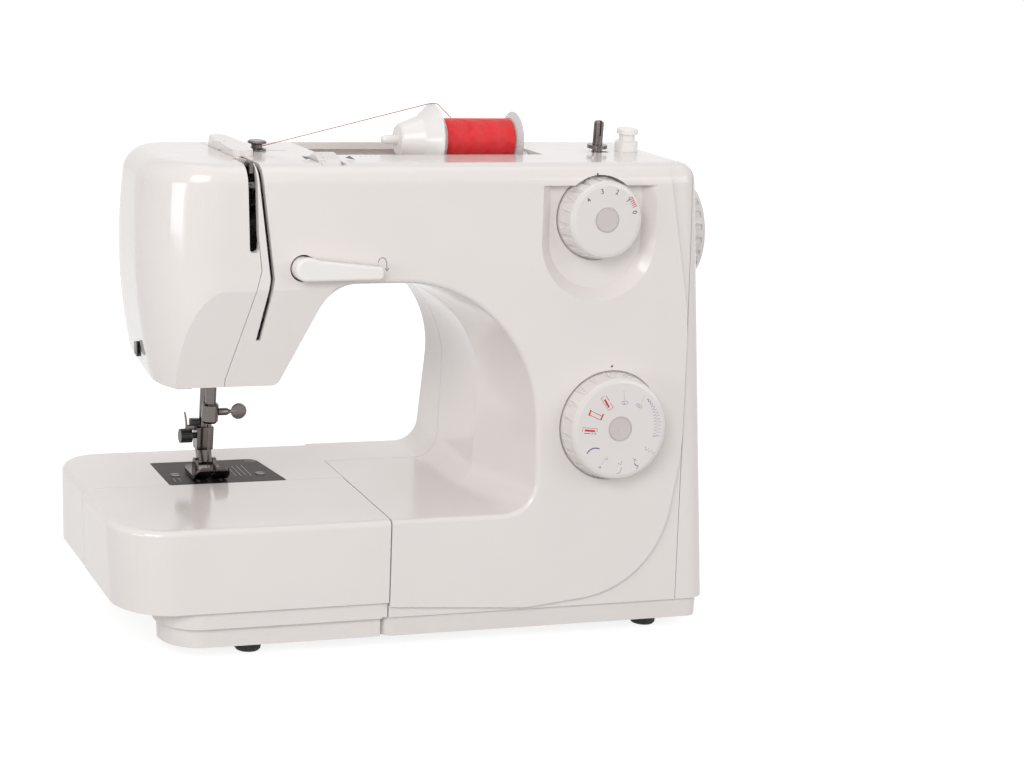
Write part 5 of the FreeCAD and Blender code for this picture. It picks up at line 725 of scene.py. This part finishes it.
def make_clamp_screw():
    """Clamp screw: turned shaft with a thin neck and a flat round finger paddle."""
    shaft = turned(SCREW_PROFILE, (CLAMP_SCREW_Y, CLAMP_SCREW_Z))
    bpy.ops.mesh.primitive_cylinder_add(vertices=48, radius=PADDLE_R * MM, depth=PADDLE_THICK * MM,
                                        location=mm(PADDLE_X, CLAMP_SCREW_Y, CLAMP_SCREW_Z),
                                        rotation=(math.pi / 2, 0, 0))
    paddle = bpy.context.active_object
    settle()
    soften(paddle, PADDLE_ROUND, ROUND_STEPS)
    smooth(35)
    pick(shaft, paddle)
    bpy.ops.object.join()
    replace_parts(take("clamp_screw_paddle", PAINTED_DARK_STEEL, "needle_set"), "clamp_screw")


BLADE_MID, BLADE_SIZE = (-116.6, 34.0, 108.6), (0.9, 2.6, 12.0)
BLADE_FOOT_Z, BLADE_LEAN, BLADE_TAPER = 103.0, 1.6, 0.45


def make_side_fittings():
    """Bracket on the presser bar with a standing finger blade and a black clip."""
    bracket = block((-117.2, 32.8, 103.4), (-107.6, 35.2, 106.6), 0.5)
    bpy.ops.mesh.primitive_cube_add(size=1)
    blade = bpy.context.active_object
    blade.scale = mm(*BLADE_SIZE)
    blade.location = mm(*BLADE_MID)
    settle()
    open_all()
    bpy.ops.mesh.subdivide(number_cuts=7)
    close()
    middle = BLADE_MID[1] * MM
    for vertex in blade.data.vertices:
        rise = max(0.0, (vertex.co.z / MM - BLADE_FOOT_Z) / BLADE_SIZE[2])
        vertex.co.x -= BLADE_LEAN * rise ** 2 * MM
        vertex.co.y = middle + (vertex.co.y - middle) * (1 - BLADE_TAPER * rise ** 3)
    soft = blade.modifiers.new("soft", "SUBSURF")
    soft.levels = soft.render_levels = 1
    bpy.ops.object.modifier_apply(modifier=soft.name)
    smooth(40)
    pick(bracket, blade)
    bpy.ops.object.join()
    take("finger_blade", PAINTED_DARK_STEEL, "presser_set")
    block((-114.8, 31.6, 106.4), (-108.7, 36.4, 110.4), 0.8)
    take("finger_clip", BLACK, "presser_set")


make_clamp_screw()
make_side_fittings()


# Guide lines and corner mark of the needle plate, and prints over the top and on the front
PLATE_TOP_Z, LINE_STEP = 77.5, 3.1

# The plane of the top prints rises towards the back, where the casing falls, so they stand above it
TOP_Y, TOP_Z, PRINT_RISE = -60, 280.0, 0.05
PRINT_LONG = math.hypot(1, PRINT_RISE)


def flat_place(x, y, z, rise=0.0):
    """Frame on a level surface or one that rises backwards: right, backwards and up."""
    long = math.hypot(1, rise)
    turn = Matrix(((1, 0, 0), (0, 1 / long, -rise / long), (0, rise / long, 1 / long))).to_4x4()
    return Matrix.Translation(mm(x, y, z)) @ turn


def on_top(points):
    """Points of the plan, laid on the plane of the top prints."""
    return [(x, (y - TOP_Y) * PRINT_LONG) for x, y in points]


PLATE_LINES = []
for i in range(4):
    PLATE_LINES.append((0.4, [(-88.2 + LINE_STEP * i, 21.0), (-88.2 + LINE_STEP * i, 40.0 + i)]))
for i in range(2):
    PLATE_LINES.append((0.4, [(-123.8 - LINE_STEP * i, 16.0), (-123.8 - LINE_STEP * i, 22.0)]))
round_mark = [2 * math.pi * i / 20 for i in range(21)]
PLATE_LINES.append((0.5, [(-70.8 + 3.2 * math.cos(a), 50.2 + 1.3 * math.sin(a)) for a in round_mark]))
ink_lines("plate_guide_lines", PLATE_LINES, flat_place(0, 0, PLATE_TOP_Z), INK_PALE, "base")

TOP_MARKS = [
    (0.5, [(-97.5, -23.5), (-81.5, -22.5)]),
    (0.5, [(-95.0, -25.5), (-97.5, -23.5), (-95.2, -21.8)]),
    (0.5, [(-121.5, -20.5), (-113.0, -22.5)]),
    (0.5, [(-119.5, -23.0), (-121.5, -20.5), (-118.8, -19.3)]),
]
for x, y in ((-122.8, 6.0), (-121.9, 1.0), (-118.9, -2.4), (-115.0, -2.2), (-111.5, 0.8)):
    TOP_MARKS.append((0.7, [(x, y), (x + 0.9, y + 0.4)]))
for i in range(5):
    TOP_MARKS.append((0.45, [(-42.6 + LINE_STEP * i, -38.4), (-42.0 + LINE_STEP * i, -36.4)]))
top_face = flat_place(0, TOP_Y, TOP_Z, PRINT_RISE)
laid_on_top = [(width, on_top(points)) for width, points in TOP_MARKS]
ink_lines("top_threading_marks", laid_on_top, top_face, INK_GREY, "base")


def wedge(name, corners):
    """Solid triangle in the plane of the top prints."""
    bpy.ops.mesh.primitive_circle_add(vertices=3, radius=MM, fill_type="NGON")
    obj = bpy.context.active_object
    for vertex, (u, v) in zip(obj.data.vertices, on_top(corners)):
        vertex.co = mm(u, v, 0)
    open_all()
    bpy.ops.mesh.extrude_region_move(TRANSFORM_OT_translate={"value": (0, 0, INK_HIGH * MM)})
    bpy.ops.mesh.select_all(action="SELECT")
    bpy.ops.mesh.normals_make_consistent(inside=False)
    close()
    obj.matrix_world = top_face
    take(name, INK_BLACK, "base")


wedge("tension_mark_left", [(-77.3, -37.5), (-77.3, -45.5), (-73.0, -41.5)])
wedge("tension_mark_right", [(-48.6, -36.5), (-52.8, -41.5), (-48.6, -46.5)])

REVERSE_MARK = [
    (0.5, [(-37.9, 220.2), (-37.9, 221.6)]),
    (0.5, [(-37.9, 222.8), (-37.9, 224.2)]),
    (0.5, [(-37.9, 225.4), (-37.3, 227.4), (-35.6, 228.4), (-33.8, 227.7), (-32.8, 225.8), (-32.5, 221.2)]),
    (0.5, [(-33.7, 222.4), (-32.5, 220.6), (-31.3, 222.4)]),
]
up_front = [(width, [(x, (z - FRONT_Z) * LEAN) for x, z in points]) for width, points in REVERSE_MARK]
ink_lines("reverse_mark", up_front, front_place(0, FRONT_Z, 0.0), INK_GREY, "base")


# Stage: pale floor and soft studio light
FLOOR_HALF = 6.0
FLOOR_LIT, FLOOR_SHADE, FLOOR_GLOW = 0.5, 0.32, 0.84
WORLD_COLOUR, WORLD_LIGHT = (1.0, 0.985, 0.975, 1), 0.5
WHITE = (1, 1, 1, 1)


def seen_white(tree):
    """One where a ray comes straight, mirrored or through glass from the viewer: there all is white."""
    ray = add(tree, "ShaderNodeLightPath")
    out = ray.outputs["Is Camera Ray"]
    for kind in ("Is Glossy Ray", "Is Transmission Ray"):
        either = add(tree, "ShaderNodeMath", operation="MAXIMUM")
        tree.links.new(out, either.inputs[0])
        tree.links.new(ray.outputs[kind], either.inputs[1])
        out = either.outputs[0]
    return out


def two_ways(tree, out, lighting, seen):
    """One shader that lights the part, and another for the viewer."""
    mix = add(tree, "ShaderNodeMixShader")
    tree.links.new(seen_white(tree), mix.inputs[0])
    tree.links.new(lighting.outputs[0], mix.inputs[1])
    tree.links.new(seen.outputs[0], mix.inputs[2])
    tree.links.new(mix.outputs[0], out.inputs["Surface"])


def make_stage():
    mesh = bpy.data.meshes.new("floor")
    corners = [(x * FLOOR_HALF, y * FLOOR_HALF, 0) for x, y in ((-1, -1), (1, -1), (1, 1), (-1, 1))]
    mesh.from_pydata(corners, [], [(0, 1, 2, 3)])
    floor = put("floor", mesh)
    mat = bpy.data.materials.new("floor_white")
    mat.use_nodes = True
    tree = mat.node_tree
    tree.nodes.clear()
    out = add(tree, "ShaderNodeOutputMaterial")
    lit = add(tree, "ShaderNodeBsdfDiffuse", Color=(FLOOR_LIT, FLOOR_LIT, FLOOR_LIT, 1))
    shade = add(tree, "ShaderNodeBsdfDiffuse", Color=(FLOOR_SHADE, FLOOR_SHADE, FLOOR_SHADE, 1))
    glow = add(tree, "ShaderNodeEmission", Color=WHITE, Strength=FLOOR_GLOW)
    both = add(tree, "ShaderNodeAddShader")
    tree.links.new(shade.outputs[0], both.inputs[0])
    tree.links.new(glow.outputs[0], both.inputs[1])
    two_ways(tree, out, lit, both)
    mesh.materials.append(mat)


def make_world():
    world = bpy.data.worlds.new("studio")
    scene.world = world
    world.use_nodes = True
    tree = world.node_tree
    tree.nodes.clear()
    out = add(tree, "ShaderNodeOutputWorld")
    soft = add(tree, "ShaderNodeBackground", Color=WORLD_COLOUR, Strength=WORLD_LIGHT)
    white = add(tree, "ShaderNodeBackground", Color=WHITE, Strength=1.0)
    two_ways(tree, out, soft, white)


def softbox(name, at, aim, size, power, mirrored=True):
    """Soft light; one that isn't mirrored shows no reflection on the glossy casing."""
    data = bpy.data.lights.new(name, "AREA")
    data.shape = "RECTANGLE"
    data.size, data.size_y = size
    data.energy = power
    obj = put(name, data)
    obj.location = at
    obj.rotation_euler = (Vector(aim) - Vector(at)).to_track_quat("-Z", "Y").to_euler()
    obj.visible_glossy = mirrored


make_stage()
make_world()
softbox("key", (-1.15, -1.7, 1.3), (0, 0, 0.15), (1.1, 0.9), 19.5)
softbox("fill", (1.5, -1.6, 0.9), (0, 0, 0.15), (1.2, 1.2), 9)
softbox("side", (-1.5, -0.8, 0.3), (0.06, -0.03, 0.12), (0.6, 0.35), 4)
softbox("overhead", (0.1, 0.2, 1.9), (0, 0, 0.2), (1.5, 1.1), 4.5)
softbox("back", (0.8, 1.75, 0.9), (0, 0, 0.15), (1.3, 1.0), 12, mirrored=False)

scene.view_settings.view_transform = "Standard"
